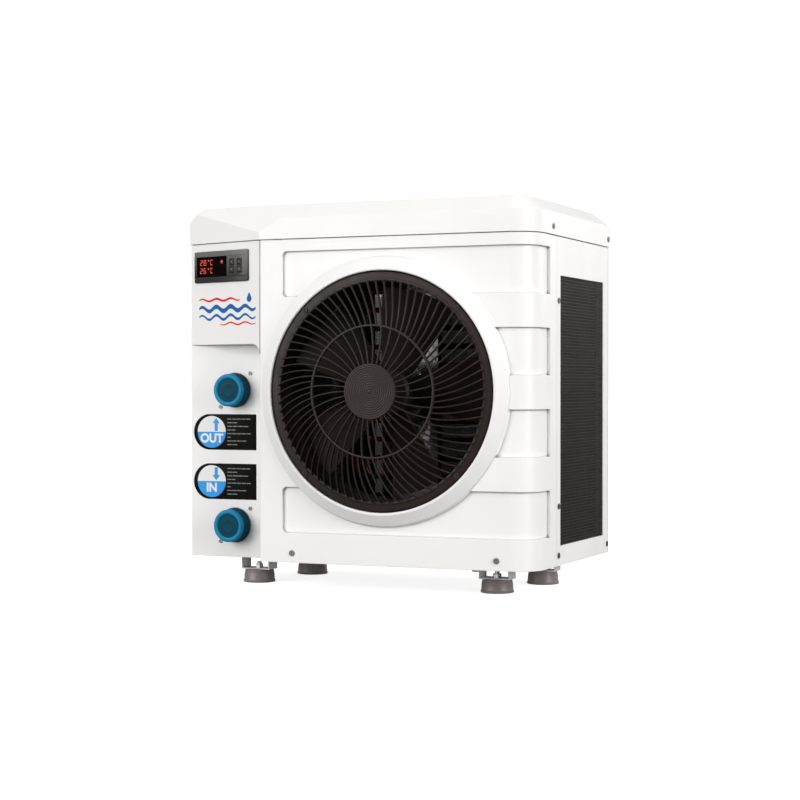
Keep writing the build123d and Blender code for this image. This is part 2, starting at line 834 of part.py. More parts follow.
def dome(rise, radius):
    """Solid half ellipsoid of revolution on the guard's flange."""
    arc = Plane.XZ * EllipticalCenterArc((0, 0), radius, rise, arc_size=90)
    base = Line((0, 0, 0), (radius, 0, 0))
    axis = Line((0, 0, rise), (0, 0, 0))
    return revolve(make_face(arc.edges() + base.edges() + axis.edges()), Axis.Z, 360)


def guard_rib(dome_shell, start):
    """One curved rib from radius start to the rim, on the dome."""
    rim = guard_radius - guard_flange_width
    sweep_angle = math.radians(guard_rib_sweep)
    run = rim * math.cos(sweep_angle) - guard_hub_radius
    side = rim * math.sin(sweep_angle)
    bend = (run ** 2 + side ** 2) / (2 * side)
    half = guard_rib_width / 2
    ring = Cylinder(bend + half, 200) - Cylinder(bend - half, 201)
    ring = Pos(guard_hub_radius, bend, 0) * ring
    keep = Pos(guard_hub_radius - 1 + 100, 40, 0) * Box(200, 110, 210)
    rib = (ring & keep & dome_shell) - Cylinder(start, 300)
    return rib


def fan_guard():
    """Domed guard: flange, two sets of curved ribs, middle ring and hub disc."""
    rim = guard_radius - guard_flange_width
    reach = rim + 4.0
    back = guard_flange_stand - guard_flange_thickness
    shell = dome(guard_dome_rise - 0.3, reach) - dome(guard_dome_rise - guard_rib_depth,
                                                      reach - guard_rib_depth)
    long_rib = guard_rib(shell, guard_hub_radius - 2)
    short_rib = guard_rib(shell, guard_mid_radius - 0.8)
    step = 360 / guard_rib_count
    ribs = []
    for index in range(guard_rib_count):
        ribs.append(Rot(0, 0, index * step) * long_rib)
        ribs.append(Rot(0, 0, (index + 0.5) * step) * short_rib)
    mid_top = guard_dome_rise * math.sqrt(1 - (guard_mid_radius / reach) ** 2)
    mid_low = mid_top - guard_rib_depth - 0.6
    middle = turned([
        (guard_mid_radius - 1.3, mid_low), (guard_mid_radius + 1.3, mid_low),
        (guard_mid_radius + 1.3, mid_top - 0.2), (guard_mid_radius - 1.3, mid_top),
    ])
    hub_low = guard_dome_rise - guard_hub_thickness
    hub = turned([
        (0, hub_low), (guard_hub_radius, hub_low), (guard_hub_radius, guard_dome_rise - 1),
        (guard_hub_radius - 1, guard_dome_rise), (0, guard_dome_rise),
    ])
    flange = turned([
        (rim, -guard_flange_thickness), (guard_radius, -guard_flange_thickness),
        (guard_radius, -0.6), (guard_radius - 0.8, 0), (rim + 4.5, 0), (rim + 3.5, 0.6), (rim, 0.6),
    ])
    body = flange.fuse(middle, hub, *ribs)
    body = Pos(0, 0, guard_flange_stand) * body
    guard = front_plane.location * body
    for place, direction in guard_screws:
        guard -= screw_hole(place, direction)
    return guard


def fan_shroud():
    """Duct round the impeller, with a flange that the guard is screwed to."""
    flange_back = guard_flange_stand - guard_flange_thickness
    duct = front_plane.location * turned([
        (duct_radius, flange_back), (guard_radius, flange_back), (guard_radius, flange_back - 2),
        (duct_radius + 6, flange_back - 3), (duct_radius + duct_thickness, flange_back - 8),
        (duct_radius + duct_thickness, -duct_length), (duct_radius, -duct_length),
    ])
    for place, direction in guard_screws:
        duct -= screw_hole(place, direction)
    return duct


# ---------------------------------------------------------------- fan and motor

def blade():
    """One twisted blade, growing along +X in the fan's own frame."""
    sections = []
    for radius, chord, pitch in ((impeller_hub_radius - 4, 38, 42), (70, 66, 32),
                                 (impeller_radius, 92, 22)):
        plane = Plane(origin=(radius, 0, 0), x_dir=(0, 1, 0), z_dir=(1, 0, 0))
        lean = Rot(0, 0, pitch)
        sections.append(plane * (lean * Rectangle(chord, blade_thickness)))
    return loft(sections)


def fan_impeller():
    """Moulded impeller: cup hub with a bored boss and twisted blades."""
    length = impeller_hub_length
    hub = turned([
        (shaft_radius + 0.02, 0), (impeller_hub_radius - 3, 0), (impeller_hub_radius, -3),
        (impeller_hub_radius, -length), (impeller_hub_radius - 2.5, -length),
        (impeller_hub_radius - 2.5, -4), (shaft_radius + 5, -4), (shaft_radius + 5, -length + 2),
        (shaft_radius + 0.02, -length + 2),
    ])
    inside = Pos(0, 0, -length / 2) * Cylinder(impeller_hub_radius - 1.5, length * 3)
    tip = Pos(0, 0, -length / 2) * (Cylinder(impeller_radius + 60, 200) - Cylinder(impeller_radius, 201))
    vane = Pos(0, 0, -length / 2 - 4) * blade() - inside - tip
    vanes = [Rot(0, 0, index * 360 / blade_count) * vane for index in range(blade_count)]
    return front_plane.location * Pos(0, 0, -impeller_start) * hub.fuse(*vanes)


def fan_rod(start, end, radius, bore):
    """Tube on the fan axis, from start to end behind the front panel."""
    near = (guard_x, front_y + start, guard_z)
    far = (guard_x, front_y + end, guard_z)
    if bore > 0:
        return hollow_rod(near, far, radius, bore)
    return rod(near, far, radius)


def fan_shaft():
    """Motor shaft with its threaded nose."""
    return fan_rod(impeller_start - 6, motor_start + motor_length + 4, shaft_radius, 0)


def fan_nut():
    """Domed nut that holds the impeller on the shaft."""
    nut = extrude(RegularPolygon(7.5, 6), amount=5, dir=(0, 0, 1))
    nut -= Cylinder(shaft_radius + 0.02, 30)
    return front_plane.location * Pos(0, 0, -impeller_start) * nut


def motor_housing():
    """Motor can in two end bells with bearing seats."""
    can = fan_rod(motor_start, motor_end, motor_radius, motor_radius - motor_wall)
    can += fan_rod(motor_start, motor_start + motor_wall, motor_radius, bearing_radius)
    can += fan_rod(motor_end - motor_wall, motor_end, motor_radius, bearing_radius)
    front_seat = fan_rod(motor_start, motor_start + bearing_length, bearing_radius + 2.5, bearing_radius)
    rear_seat = fan_rod(motor_end - bearing_length, motor_end, bearing_radius + 2.5, bearing_radius)
    return can + front_seat + rear_seat


def motor_bearings():
    """Ball bearings at both ends of the motor."""
    bore = shaft_radius + running_clearance
    front_bearing = fan_rod(motor_start, motor_start + bearing_length, bearing_radius, bore)
    rear_bearing = fan_rod(motor_end - bearing_length, motor_end, bearing_radius, bore)
    return [front_bearing, rear_bearing]


def motor_stator():
    """Laminated stator ring with its winding heads."""
    middle = fan_rod(motor_start + 14, motor_end - 14, motor_radius - motor_wall, rotor_radius + rotor_gap)
    near = fan_rod(motor_start + 9, motor_start + 14, motor_radius - motor_wall - 4, rotor_radius + 3)
    far = fan_rod(motor_end - 14, motor_end - 9, motor_radius - motor_wall - 4, rotor_radius + 3)
    return middle + near + far


def motor_rotor():
    """Rotor pressed on the shaft."""
    return fan_rod(motor_start + 12, motor_end - 12, rotor_radius, shaft_radius)


def motor_bracket():
    """Upright steel strap behind the motor, bolted to the base pan, with its band round the motor."""
    half = bracket_width / 2
    y = front_y + motor_end
    body = block(guard_x - half, guard_x + half, y, y + 2, floor_z, panel_top_z - 4)
    body += block(guard_x - half, guard_x + half, y, y + 24, floor_z, floor_z + 2)
    body += block(guard_x - half, guard_x + half, y, y + 24, panel_top_z - 6, panel_top_z - 4)
    for side in (-1, 1):
        x = guard_x + side * (half - 1)
        body += block(x - 1, x + 1, y, y + 12, floor_z, panel_top_z - 4)
    body -= fan_rod(motor_end - 5, motor_end + 40, bearing_radius + 6, 0)
    return body


# ---------------------------------------------------------------- evaporator

def tube_heights():
    """Heights of the tube rows."""
    return [first_tube_z + row * tube_pitch for row in range(tube_count)]


def fin_blank(thickness, width, hole_radius):
    """Upright plate with a hole for each tube, its faces square to Y, centred on the tube row."""
    low = first_tube_z - tube_pitch / 2
    high = last_tube_z + tube_pitch / 2
    plate = Pos(0, (low + high) / 2) * Rectangle(width, high - low)
    plate -= [Pos(0, z) * Circle(hole_radius) for z in tube_heights()]
    return Plane.XZ * extrude(plate, amount=thickness / 2, both=True)


def coil_places():
    """Plan place and turn of each fin along the straight, the bend and the rear leg."""
    bend_y = coil_y - coil_bend_radius
    bend_x = coil_x - coil_bend_radius
    places = []
    start = coil_front_y + 6
    count = int((bend_y - start) / fin_pitch)
    for index in range(count + 1):
        places.append((coil_x, start + index * fin_pitch, 0.0))
    turns = int(coil_bend_radius * math.pi / 2 / fin_pitch)
    for index in range(1, turns):
        angle = index * 90 / turns
        rad = math.radians(angle)
        x = bend_x + coil_bend_radius * math.cos(rad)
        y = bend_y + coil_bend_radius * math.sin(rad)
        places.append((x, y, angle))
    end = coil_end_x + 6
    count = int((bend_x - end) / fin_pitch)
    for index in range(count + 1):
        places.append((bend_x - index * fin_pitch, coil_y, 90.0))
    return places


def evaporator_fins():
    """Aluminium fins, each a separate plate on the tubes."""
    fin = fin_blank(fin_thickness, fin_depth, tube_radius + fin_hole_clearance)
    return [Pos(x, y, 0) * Rot(0, 0, turn) * fin for x, y, turn in coil_places()]


def evaporator_end_plates():
    """Steel plates at the two ends of the coil."""
    plate = fin_blank(sheet_thickness, fin_depth + 6, tube_radius + fin_hole_clearance)
    front_plate = Pos(coil_x, coil_front_y, 0) * plate
    end_plate = Pos(coil_end_x, coil_y, 0) * Rot(0, 0, 90) * plate
    return [front_plate, end_plate]


def evaporator_tubes():
    """Copper tubes, one for each row, round the corner from the front end plate to the partition."""
    start_y = coil_front_y - tube_overrun
    route = [(coil_x, start_y, 0), (coil_x, coil_y, 0), (coil_tube_end_x, coil_y, 0)]
    tube = pipe(route, tube_radius, tube_radius - tube_wall, coil_bend_radius)
    return [Pos(0, 0, z) * tube for z in tube_heights()]


def evaporator_bends():
    """Return bends that join the rows in pairs at both ends of the coil."""
    half = tube_pitch / 2
    section = Pos(0, half, 0) * (Circle(tube_radius) - Circle(tube_radius - tube_wall))
    bend = revolve(section, Axis.X, 180)
    heights = tube_heights()
    start_y = coil_front_y - tube_overrun
    bends = []
    front_place = Plane(origin=(coil_x, start_y, 0), x_dir=(1, 0, 0), z_dir=(0, -1, 0))
    rear_place = Plane(origin=(coil_tube_end_x, coil_y, 0), x_dir=(0, 1, 0), z_dir=(-1, 0, 0))
    for row in range(0, tube_count - 1, 2):
        middle = (heights[row] + heights[row + 1]) / 2
        bends.append(Pos(0, 0, middle) * (front_place.location * bend))
    for row in range(1, tube_count - 1, 2):
        middle = (heights[row] + heights[row + 1]) / 2
        bends.append(Pos(0, 0, middle) * (rear_place.location * bend))
    return bends


# ---------------------------------------------------------------- water side

def port_rod(start_y, end_y, z, radius):
    """Cylinder on a port's axis."""
    return rod((port_x, start_y, z), (port_x, end_y, z), radius)


def water_port(z, tail_end):
    """Hose spigot with its flange behind the bay's wall and a tail inside."""
    body = port_rod(bay_y - spigot_reach, tail_end, z, spigot_radius)
    body += port_rod(flange_y, tail_y, z, flange_radius)
    body -= port_rod(bay_y - spigot_reach - 1, tail_end + 1, z, spigot_bore_radius)
    for place, direction in port_screws:
        body -= screw_hole(place, direction)
    return body


def port_gaskets():
    """Flat gaskets between the bay's wall and the port flanges."""
    rings = []
    for z in (inlet_z, outlet_z):
        ring = port_rod(gasket_y, flange_y, z, flange_radius)
        ring -= port_rod(gasket_y - 1, flange_y + 1, z, spigot_radius + 0.2)
        for place, direction in port_screws:
            ring -= screw_hole(place, direction)
        rings.append(ring)
    return rings


def water_cap(z):
    """Push-on cap with a sunk face and a rounded rim."""
    cap = turned([
        (0, cap_bore_depth), (cap_bore_radius, cap_bore_depth), (cap_bore_radius, 0),
        (cap_base_radius, 0), (cap_base_radius, 3), (cap_front_radius + 0.3, cap_length - 2),
        (cap_front_radius - 1.5, cap_length), (cap_face_radius + 0.8, cap_length),
        (cap_face_radius, cap_length - cap_face_recess), (0, cap_length - cap_face_recess),
    ])
    place = Plane(origin=(port_x, bay_y - joint_gap, z), x_dir=(1, 0, 0), z_dir=(0, -1, 0))
    return place.location * cap


def exchanger_shell():
    """Upright vessel with two stubs towards the ports."""
    low = exchanger_z
    high = exchanger_top_z
    centre = (port_x, exchanger_y)
    body = rod((*centre, low), (*centre, high), exchanger_radius)
    for z in (inlet_z, outlet_z):
        body += rod((port_x, joint_y, z), (port_x, exchanger_y, z), spigot_radius)
    body -= rod((*centre, low - 1), (*centre, high + 1), exchanger_radius - exchanger_wall)
    for z in (inlet_z, outlet_z):
        body -= rod((port_x, joint_y - 1, z), (port_x, exchanger_y, z), spigot_bore_radius)
    return body


def coil_leg_xs():
    """X of the coil's two upright ends: from its last turn, and up inside the turns from its first."""
    return (port_x - titanium_coil_radius, port_x + titanium_return_offset)


def exchanger_caps():
    """Screwed end caps of the vessel, the upper one with holes for the coil's ends."""
    centre = (port_x, exchanger_y)
    wide = exchanger_radius + exchanger_cap_overlap
    bottom = rod((*centre, exchanger_z - 5), (*centre, exchanger_z), wide)
    top_z = exchanger_top_z + exchanger_cap_height
    top = rod((*centre, exchanger_top_z), (*centre, top_z), wide)
    for x in coil_leg_xs():
        top -= rod((x, exchanger_y, exchanger_top_z - 1), (x, exchanger_y, top_z + 1),
                   titanium_leg_radius + 0.1)
    return [bottom, top]


def titanium_coil():
    """Helical coil inside the vessel, with two upright ends that leave through the upper cap."""
    low = exchanger_z + 60.0
    height = titanium_turns * titanium_pitch
    helix = Helix(titanium_pitch, height, titanium_coil_radius)
    start = Plane(origin=helix @ 0, z_dir=helix % 0)
    turns = sweep(start * Circle(titanium_tube_radius), path=helix, is_frenet=True)
    coil = Pos(port_x, exchanger_y, low) * turns
    far_x, near_x = coil_leg_xs()
    y = exchanger_y
    coil += rod((far_x, y, low + height), (far_x, y, leg_top_z), titanium_leg_radius)
    coil += rod((port_x + titanium_coil_radius, y, low), (near_x, y, low), titanium_leg_radius)
    coil += rod((near_x, y, low), (near_x, y, leg_top_z), titanium_leg_radius)
    return coil


def union_ring():
    """Ring nut round the joint between the inlet's tail and the vessel."""
    start = (port_x, joint_y - union_length / 2, inlet_z)
    end = (port_x, joint_y + union_length / 2, inlet_z)
    return hollow_rod(start, end, union_radius, spigot_radius + 0.1)


def flow_switch_body():
    """Tee with a short tower that carries the paddle's pin."""
    low = (port_x, switch_y, outlet_z)
    top = outlet_z + spigot_radius + switch_tower_height
    body = port_rod(tail_y, joint_y, outlet_z, spigot_radius)
    body += rod(low, (port_x, switch_y, top), switch_tower_radius)
    body -= port_rod(tail_y - 1, joint_y + 1, outlet_z, spigot_bore_radius)
    body -= rod(low, (port_x, switch_y, top - 2), switch_tower_bore)
    body += block(port_x - 14, port_x + 14, switch_y - 9, switch_y + 9, top, top + 16)
    pin_z = outlet_z + switch_pin_height
    body -= rod((port_x - 10.5, switch_y, pin_z), (port_x + 10.5, switch_y, pin_z),
                switch_pin_radius + running_clearance)
    return body


def flow_paddle():
    """Paddle that hangs in the outlet on its pin."""
    pin_z = outlet_z + switch_pin_height
    half = paddle_width / 2
    body = block(port_x - half, port_x + half, switch_y - paddle_thickness / 2,
                 switch_y + paddle_thickness / 2, pin_z - paddle_drop, pin_z)
    body += rod((port_x - half, switch_y, pin_z), (port_x + half, switch_y, pin_z), 2.6)
    body += rod((port_x - 10, switch_y, pin_z), (port_x + 10, switch_y, pin_z), switch_pin_radius)
    return body


# ---------------------------------------------------------------- refrigerant side

def compressor_shell():
    """Rotary compressor: can with domed ends and three feet."""
    radius = compressor_radius
    height = compressor_height
    can = turned([
        (0, 0), (radius - 14, 0), (radius - 4, 4), (radius, 12), (radius, height - 14),
        (radius - 4, height - 5), (radius - 16, height), (0, height),
    ])
    can = Pos(compressor_x, compressor_y, compressor_z) * can
    for x, y in compressor_foot_places():
        ear = rod((x, y, compressor_z + 1), (x, y, compressor_z + 4), 10)
        web = block(min(x, compressor_x), max(x, compressor_x), min(y, compressor_y), max(y, compressor_y),
                    compressor_z + 1, compressor_z + 4)
        can += ear + web
    for x, y in compressor_foot_places():
        can -= rod((x, y, compressor_z - 1), (x, y, compressor_z + 5), foot_bolt_radius + 0.2)
    return can


def compressor_foot_places():
    """Plan places of the compressor's four feet."""
    reach = compressor_radius * 0.86
    return [(compressor_x + sx * reach, compressor_y + sy * reach) for sx in (-1, 1) for sy in (-1, 1)]


def compressor_grommets():
    """Rubber grommets between the base pan and the compressor's feet."""
    height = compressor_lift + 1
    return [
        hollow_rod((x, y, floor_z), (x, y, floor_z + height), 9, foot_bolt_radius + 0.2)
        for x, y in compressor_foot_places()
    ]


def compressor_bolts():
    """Bolts through the grommets."""
    bolts = []
    top = compressor_z + 4
    for x, y in compressor_foot_places():
        bolts.append(rod((x, y, floor_z), (x, y, top + 5), foot_bolt_radius)
                     + Pos(x, y, top) * extrude(RegularPolygon(5.6, 6), amount=5, dir=(0, 0, 1)))
    return bolts


def compressor_cover():
    """Terminal cover clipped on the compressor's left."""
    x = compressor_x - compressor_radius
    return block(x - 8, x, compressor_y - 14, compressor_y + 14, compressor_z + 90, compressor_z + 130)


def accumulator():
    """Suction accumulator beside the compressor."""
    radius = accumulator_radius
    height = accumulator_height
    body = turned([
        (0, 0), (radius - 6, 0), (radius, 8), (radius, height - 8), (radius - 6, height), (0, height),
    ])
    return Pos(accumulator_x, compressor_y, accumulator_z) * body


def four_way_valve():
    """Reversing valve with one stub below and three above."""
    half = valve_length / 2
    x = compressor_x
    y = compressor_y
    body = rod((x - half, y, valve_z), (x + half, y, valve_z), valve_radius)
    body += rod((x, y, valve_low_z), (x, y, valve_z), pipe_radius + 1)
    for shift in (-valve_port_pitch, 0, valve_port_pitch):
        body += rod((x + shift, y, valve_z), (x + shift, y, valve_high_z), pipe_radius + 1)
    body += rod((x - 6, y, valve_z), (x - 6, y - 22, valve_z), 5)
    return body




def copper(points):
    """Refrigerant pipe along a route."""
    return pipe(points, pipe_radius, pipe_radius - pipe_wall, pipe_bend)


def discharge_pipe():
    """From the compressor's top up to the valve."""
    start = (compressor_x, compressor_y, compressor_top_z)
    return copper([start, (compressor_x, compressor_y, valve_low_z)])


def suction_pipe():
    """From the valve's middle stub over to the accumulator."""
    return copper([
        (compressor_x, compressor_y, valve_high_z), (compressor_x, compressor_y, suction_z),
        (accumulator_x, compressor_y, suction_z), (accumulator_x, compressor_y, accumulator_top_z),
    ])


def gas_pipe():
    """From the valve's right stub round to the top row of the evaporator."""
    x = compressor_x + valve_port_pitch
    return copper([
        (x, compressor_y, valve_high_z), (x, compressor_y, valve_high_z + 14),
        (x, coil_y, valve_high_z + 14), (x, coil_y, last_tube_z), (coil_tube_end_x, coil_y, last_tube_z),
    ])


def condenser_pipe():
    """From the valve's left stub forward to the titanium coil."""
    x = compressor_x - valve_port_pitch
    z = max(valve_high_z, leg_top_z) + 14
    return copper([
        (x, compressor_y, valve_high_z), (x, compressor_y, z), (x, exchanger_y, z),
        (x, exchanger_y, leg_top_z),
    ])


def liquid_pipes():
    """From the titanium coil's other leg to the expansion valve, and on to the bottom row."""
    x = coil_leg_xs()[1]
    z = leg_top_z + 14
    upper = copper([
        (x, exchanger_y, leg_top_z), (x, exchanger_y, z), (liquid_x, exchanger_y, z),
        (liquid_x, coil_y, z), (liquid_x, coil_y, expansion_z + expansion_length),
    ])
    lower = copper([
        (liquid_x, coil_y, expansion_z), (liquid_x, coil_y, first_tube_z),
        (coil_tube_end_x, coil_y, first_tube_z),
    ])
    return [upper, lower]


def expansion_valve():
    """Expansion valve with its coil head."""
    start = (liquid_x, coil_y, expansion_z)
    end = (liquid_x, coil_y, expansion_z + expansion_length)
    return rod(start, end, pipe_radius + 1)


# ---------------------------------------------------------------- electrical side

def electrical_box():
    """Open steel tray above the compressor."""
    outer = block(box_left_x, box_right_x, box_front_y, box_rear_y, box_z, box_top_z)
    inner = block(box_left_x + 1, box_right_x - 1, box_front_y + 1, box_rear_y - 1, box_z + 1, box_top_z + 1)
    return outer - inner


def power_board():
    """Circuit board on four posts."""
    x0 = box_left_x + 8
    x1 = box_right_x - 8
    body = block(x0, x1, board_front_y, board_rear_y, board_z, board_z + 1.6)
    for x in (x0 + 5, x1 - 5):
        for y in (board_front_y + 5, board_rear_y - 5):
            body += rod((x, y, box_z + 1), (x, y, board_z), 3)
    return body


def board_components():
    """Relays, transformer and choke on the board."""
    x0 = box_left_x + 14
    z = board_z + 1.6
    depth = board_rear_y - board_front_y
    blocks = [block(x0 + i * 20, x0 + i * 20 + 15, board_front_y + 12, board_front_y + 32, z, z + 16)
              for i in range(4)]
    blocks.append(block(x0, x0 + 34, board_front_y + depth - 44, board_front_y + depth - 10, z, z + 28))
    choke_y = board_front_y + depth - 26
    blocks.append(rod((x0 + 62, choke_y, z), (x0 + 62, choke_y, z + 22), 13))
    return blocks


def run_capacitor():
    """Compressor run capacitor lying in the box."""
    y = box_rear_y - 24
    z = box_z + 20
    return rod((box_left_x + 10, y, z), (box_left_x + 84, y, z), 17.5)


def terminal_block():
    """Mains terminal block."""
    x = box_right_x - 28
    y = box_rear_y - 44
    body = block(x, x + 20, y, y + 38, box_z + 1, box_z + 19)
    for index in range(4):
        hole_y = y + 5.5 + index * 9
        body -= rod((x + 10, hole_y, box_z + 12), (x + 10, hole_y, box_z + 20), 2.4)
    return body


def cable_gland():
    """Cable gland through the left side panel, for the mains lead."""
    outer_x = left_x - 1.0
    inner_x = outer_x + gland_length
    nut_x = left_x + sheet_thickness
    body = rod((outer_x, gland_y, gland_z), (inner_x, gland_y, gland_z), gland_radius)
    body += rod((nut_x, gland_y, gland_z), (nut_x + 5, gland_y, gland_z), gland_radius + 3)
    return body - rod((outer_x - 1, gland_y, gland_z), (inner_x + 1, gland_y, gland_z), gland_bore_radius)


# ---------------------------------------------------------------- controller

def key_places():
    """Places of the four keys, along the slope and below the seam."""
    right = controller_start + key_inset
    middle = controller_drop
    return [
        (right + column * key_pitch_x, middle + (row - 0.5) * key_pitch_z)
        for row in (0, 1)
        for column in (0, 1)
    ]


def controller_bezel():
    """Black bezel on the sloping face, with openings for the display and the keys."""
    body = on_slope(controller_middle, -controller_drop, controller_width, controller_height,
                    0, controller_rise)
    rim = [edge for edge in body.edges() if on_front_rim(edge)]
    body = chamfer(rim, 1.2)
    body -= on_slope(display_middle, -controller_drop, display_width, display_height, -5, 8)
    for along, drop in key_places():
        body -= on_slope(along, -drop, key_size + 2 * key_gap, key_size + 2 * key_gap, -5, 8)
    return body


def on_front_rim(edge):
    """Whether an edge lies on the bezel's front face."""
    local = slope_plane.to_local_coords(edge.center())
    return abs(local.Z - controller_rise) < 0.01


def display_window():
    """Dark window over the digits."""
    return on_slope(display_middle, -controller_drop, display_width, display_height, controller_rise - 2.2,
                    controller_rise - 0.6)


def display_board():
    """Board with the digit block behind the window."""
    board = on_slope(controller_middle, -controller_drop, controller_width - 14, controller_height - 12,
                     -6.6, -5)
    digits = on_slope(display_middle, -controller_drop, display_width - 6, display_height - 4, -5,
                      controller_rise - 2.4)
    return [board, digits]


def controller_housing():
    """Back box of the controller, through the fascia."""
    outer = on_slope(controller_middle, -controller_drop, controller_width - 9, controller_height - 9,
                     -controller_depth, 0)
    inner = on_slope(controller_middle, -controller_drop, controller_width - 13, controller_height - 13,
                     -controller_depth + 2, 1)
    return outer - inner - on_slope(controller_middle, -controller_drop, controller_width - 12,
                                    controller_height - 11, -6.7, -4.9)


def controller_key(index):
    """One key, its cap standing a little proud of the bezel."""
    along, drop = key_places()[index]
    cap = on_slope(along, -drop, key_size, key_size, 0.8, controller_rise + 0.8)
    stem = on_slope(along, -drop, 3, 3, -5 + key_travel + 0.3, 0.8)
    return cap + stem


def badge_plate():
    """Thin badge plate under the controller."""
    drop = controller_top + controller_height + 36.0
    return on_slope(6.0 + badge_width / 2, -drop, badge_width, badge_height, 0, label_thickness)


def port_label(z):
    """Thin label beside a port, with a round left end."""
    radius = label_height / 2
    x0 = left_x + 3.5
    y0 = bay_y - label_thickness
    body = block(x0 + radius, x0 + label_width, y0, bay_y, z - radius, z + radius)
    return body + rod((x0 + radius, y0, z), (x0 + radius, bay_y, z), radius)


# ---------------------------------------------------------------- nodes

def screws(places, head_radius=screw_head_radius):
    """One screw at each place."""
    return [screw(place, direction, head_radius) for place, direction in places]


nodes = {
    "rubber_feet": rubber_feet,
    "foot_stands": foot_stands,
    "foot_bolts": foot_bolts,
    "base_pan": base_pan,
    "drain_spout": drain_spout,
    "front_panel": front_panel,
    "control_fascia": control_fascia,
    "top_cover": top_cover,
    "right_side_panel": right_side_panel,
    "left_side_panel": left_side_panel,
    "rear_panel": rear_panel,
    "side_grille_mesh": side_grille_mesh,
    "rear_grille_mesh": rear_grille_mesh,
    "partition_panel": partition_panel,
    "casing_screws": lambda: screws(casing_screw_places) + screws(port_screws, port_screw_head_radius),
    "guard_screws": lambda: screws(guard_screws),
    "fan_guard": fan_guard,
    "fan_shroud": fan_shroud,
    "fan_impeller": fan_impeller,
    "fan_nut": fan_nut,
    "fan_shaft": fan_shaft,
    "motor_rotor": motor_rotor,
    "motor_stator": motor_stator,
    "motor_housing": motor_housing,
    "motor_bearings": motor_bearings,
    "motor_bracket": motor_bracket,
    "evaporator_fins": evaporator_fins,
    "evaporator_end_plates": evaporator_end_plates,
    "evaporator_tubes": lambda: evaporator_tubes() + evaporator_bends(),
    "inlet_port": lambda: water_port(inlet_z, joint_y),
    "outlet_port": lambda: water_port(outlet_z, tail_y),
    "port_gaskets": port_gaskets,
    "inlet_cap": lambda: water_cap(inlet_z),
    "outlet_cap": lambda: water_cap(outlet_z),
    "exchanger_shell": exchanger_shell,
    "exchanger_caps": exchanger_caps,
    "titanium_coil": titanium_coil,
    "union_ring": union_ring,
    "flow_switch_body": flow_switch_body,
    "flow_paddle": flow_paddle,
    "compressor": compressor_shell,
    "compressor_grommets": compressor_grommets,
    "compressor_bolts": compressor_bolts,
    "compressor_cover": compressor_cover,
    "accumulator": accumulator,
    "four_way_valve": four_way_valve,
    "expansion_valve": expansion_valve,
    "copper_pipes": lambda: [discharge_pipe(), suction_pipe(), gas_pipe(), condenser_pipe()] + liquid_pipes(),
    "electrical_box": electrical_box,
    "power_board": lambda: [power_board()] + board_components(),
    "run_capacitor": run_capacitor,
    "terminal_block": terminal_block,
    "cable_gland": cable_gland,
    "controller_housing": lambda: [controller_housing()] + display_board(),
    "controller_bezel": lambda: [controller_bezel(), display_window()],
    "labels": lambda: [port_label(inlet_z + 55.6), port_label(outlet_z - 54.0), badge_plate()],
    "key_1": lambda: controller_key(0),
    "key_2": lambda: controller_key(1),
    "key_3": lambda: controller_key(2),
    "key_4": lambda: controller_key(3),
}


def save(name, made):
    """Write one node's solids to its STEP file."""
    shapes = made if isinstance(made, list) else [made]
    solids = [solid for shape in shapes for solid in shape.solids()]
    export_step(Compound(solids), os.path.join("parts", name + ".step"))


os.makedirs("parts", exist_ok=True)
for node, make in nodes.items():
    save(node, make())
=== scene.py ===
import json
import math

import bmesh
import bpy
from bpy.props import FloatProperty, FloatVectorProperty, IntProperty, PointerProperty
from mathutils import Matrix, Vector


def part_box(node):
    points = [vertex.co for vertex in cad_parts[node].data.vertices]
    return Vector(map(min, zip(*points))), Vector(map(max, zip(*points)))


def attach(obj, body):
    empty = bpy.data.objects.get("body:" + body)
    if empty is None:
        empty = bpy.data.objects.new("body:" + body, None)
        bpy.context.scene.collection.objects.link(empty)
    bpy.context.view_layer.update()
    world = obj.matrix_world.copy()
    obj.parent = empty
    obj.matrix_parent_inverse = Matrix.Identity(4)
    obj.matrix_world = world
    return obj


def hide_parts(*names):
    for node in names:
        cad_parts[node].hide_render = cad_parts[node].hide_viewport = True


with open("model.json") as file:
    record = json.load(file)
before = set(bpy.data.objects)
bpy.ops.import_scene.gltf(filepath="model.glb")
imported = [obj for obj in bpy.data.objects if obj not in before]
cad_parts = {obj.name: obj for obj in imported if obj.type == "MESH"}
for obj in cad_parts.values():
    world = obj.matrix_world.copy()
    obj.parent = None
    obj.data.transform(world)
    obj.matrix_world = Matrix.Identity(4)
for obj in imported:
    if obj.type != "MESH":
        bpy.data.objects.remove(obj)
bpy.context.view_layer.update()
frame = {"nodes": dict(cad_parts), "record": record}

bl_info = {
    "name": "Pool heat pump",
    "version": (1, 0, 0),
    "blender": (4, 5, 0),
    "location": "View3D > Sidebar > Heat pump",
    "description": "Dresses the packed heat pump with its finishes and its fine visible pieces",
    "category": "Object",
}

MM = 0.001
SLOTS = {part["node"]: part["material_slot"] for part in frame["record"]["subparts"]}

# ---------------------------------------------------------------- places, read from the frame


def span(node, axis):
    """Least and greatest reach of a CAD node along an axis."""
    piece = frame["nodes"][node]
    reach = [(piece.matrix_world @ vertex.co).dot(axis) for vertex in piece.data.vertices]
    return min(reach), max(reach)


def middle(node):
    """Middle of a CAD node's box."""
    low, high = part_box(node)
    return (Vector(low) + Vector(high)) / 2


FRONT_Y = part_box("control_fascia")[0][1]
COLUMN_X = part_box("control_fascia")[1][0]
LEFT_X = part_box("control_fascia")[0][0]
BAY_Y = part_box("labels")[1][1]
SLOPE = math.atan2(BAY_Y - FRONT_Y, COLUMN_X - LEFT_X)

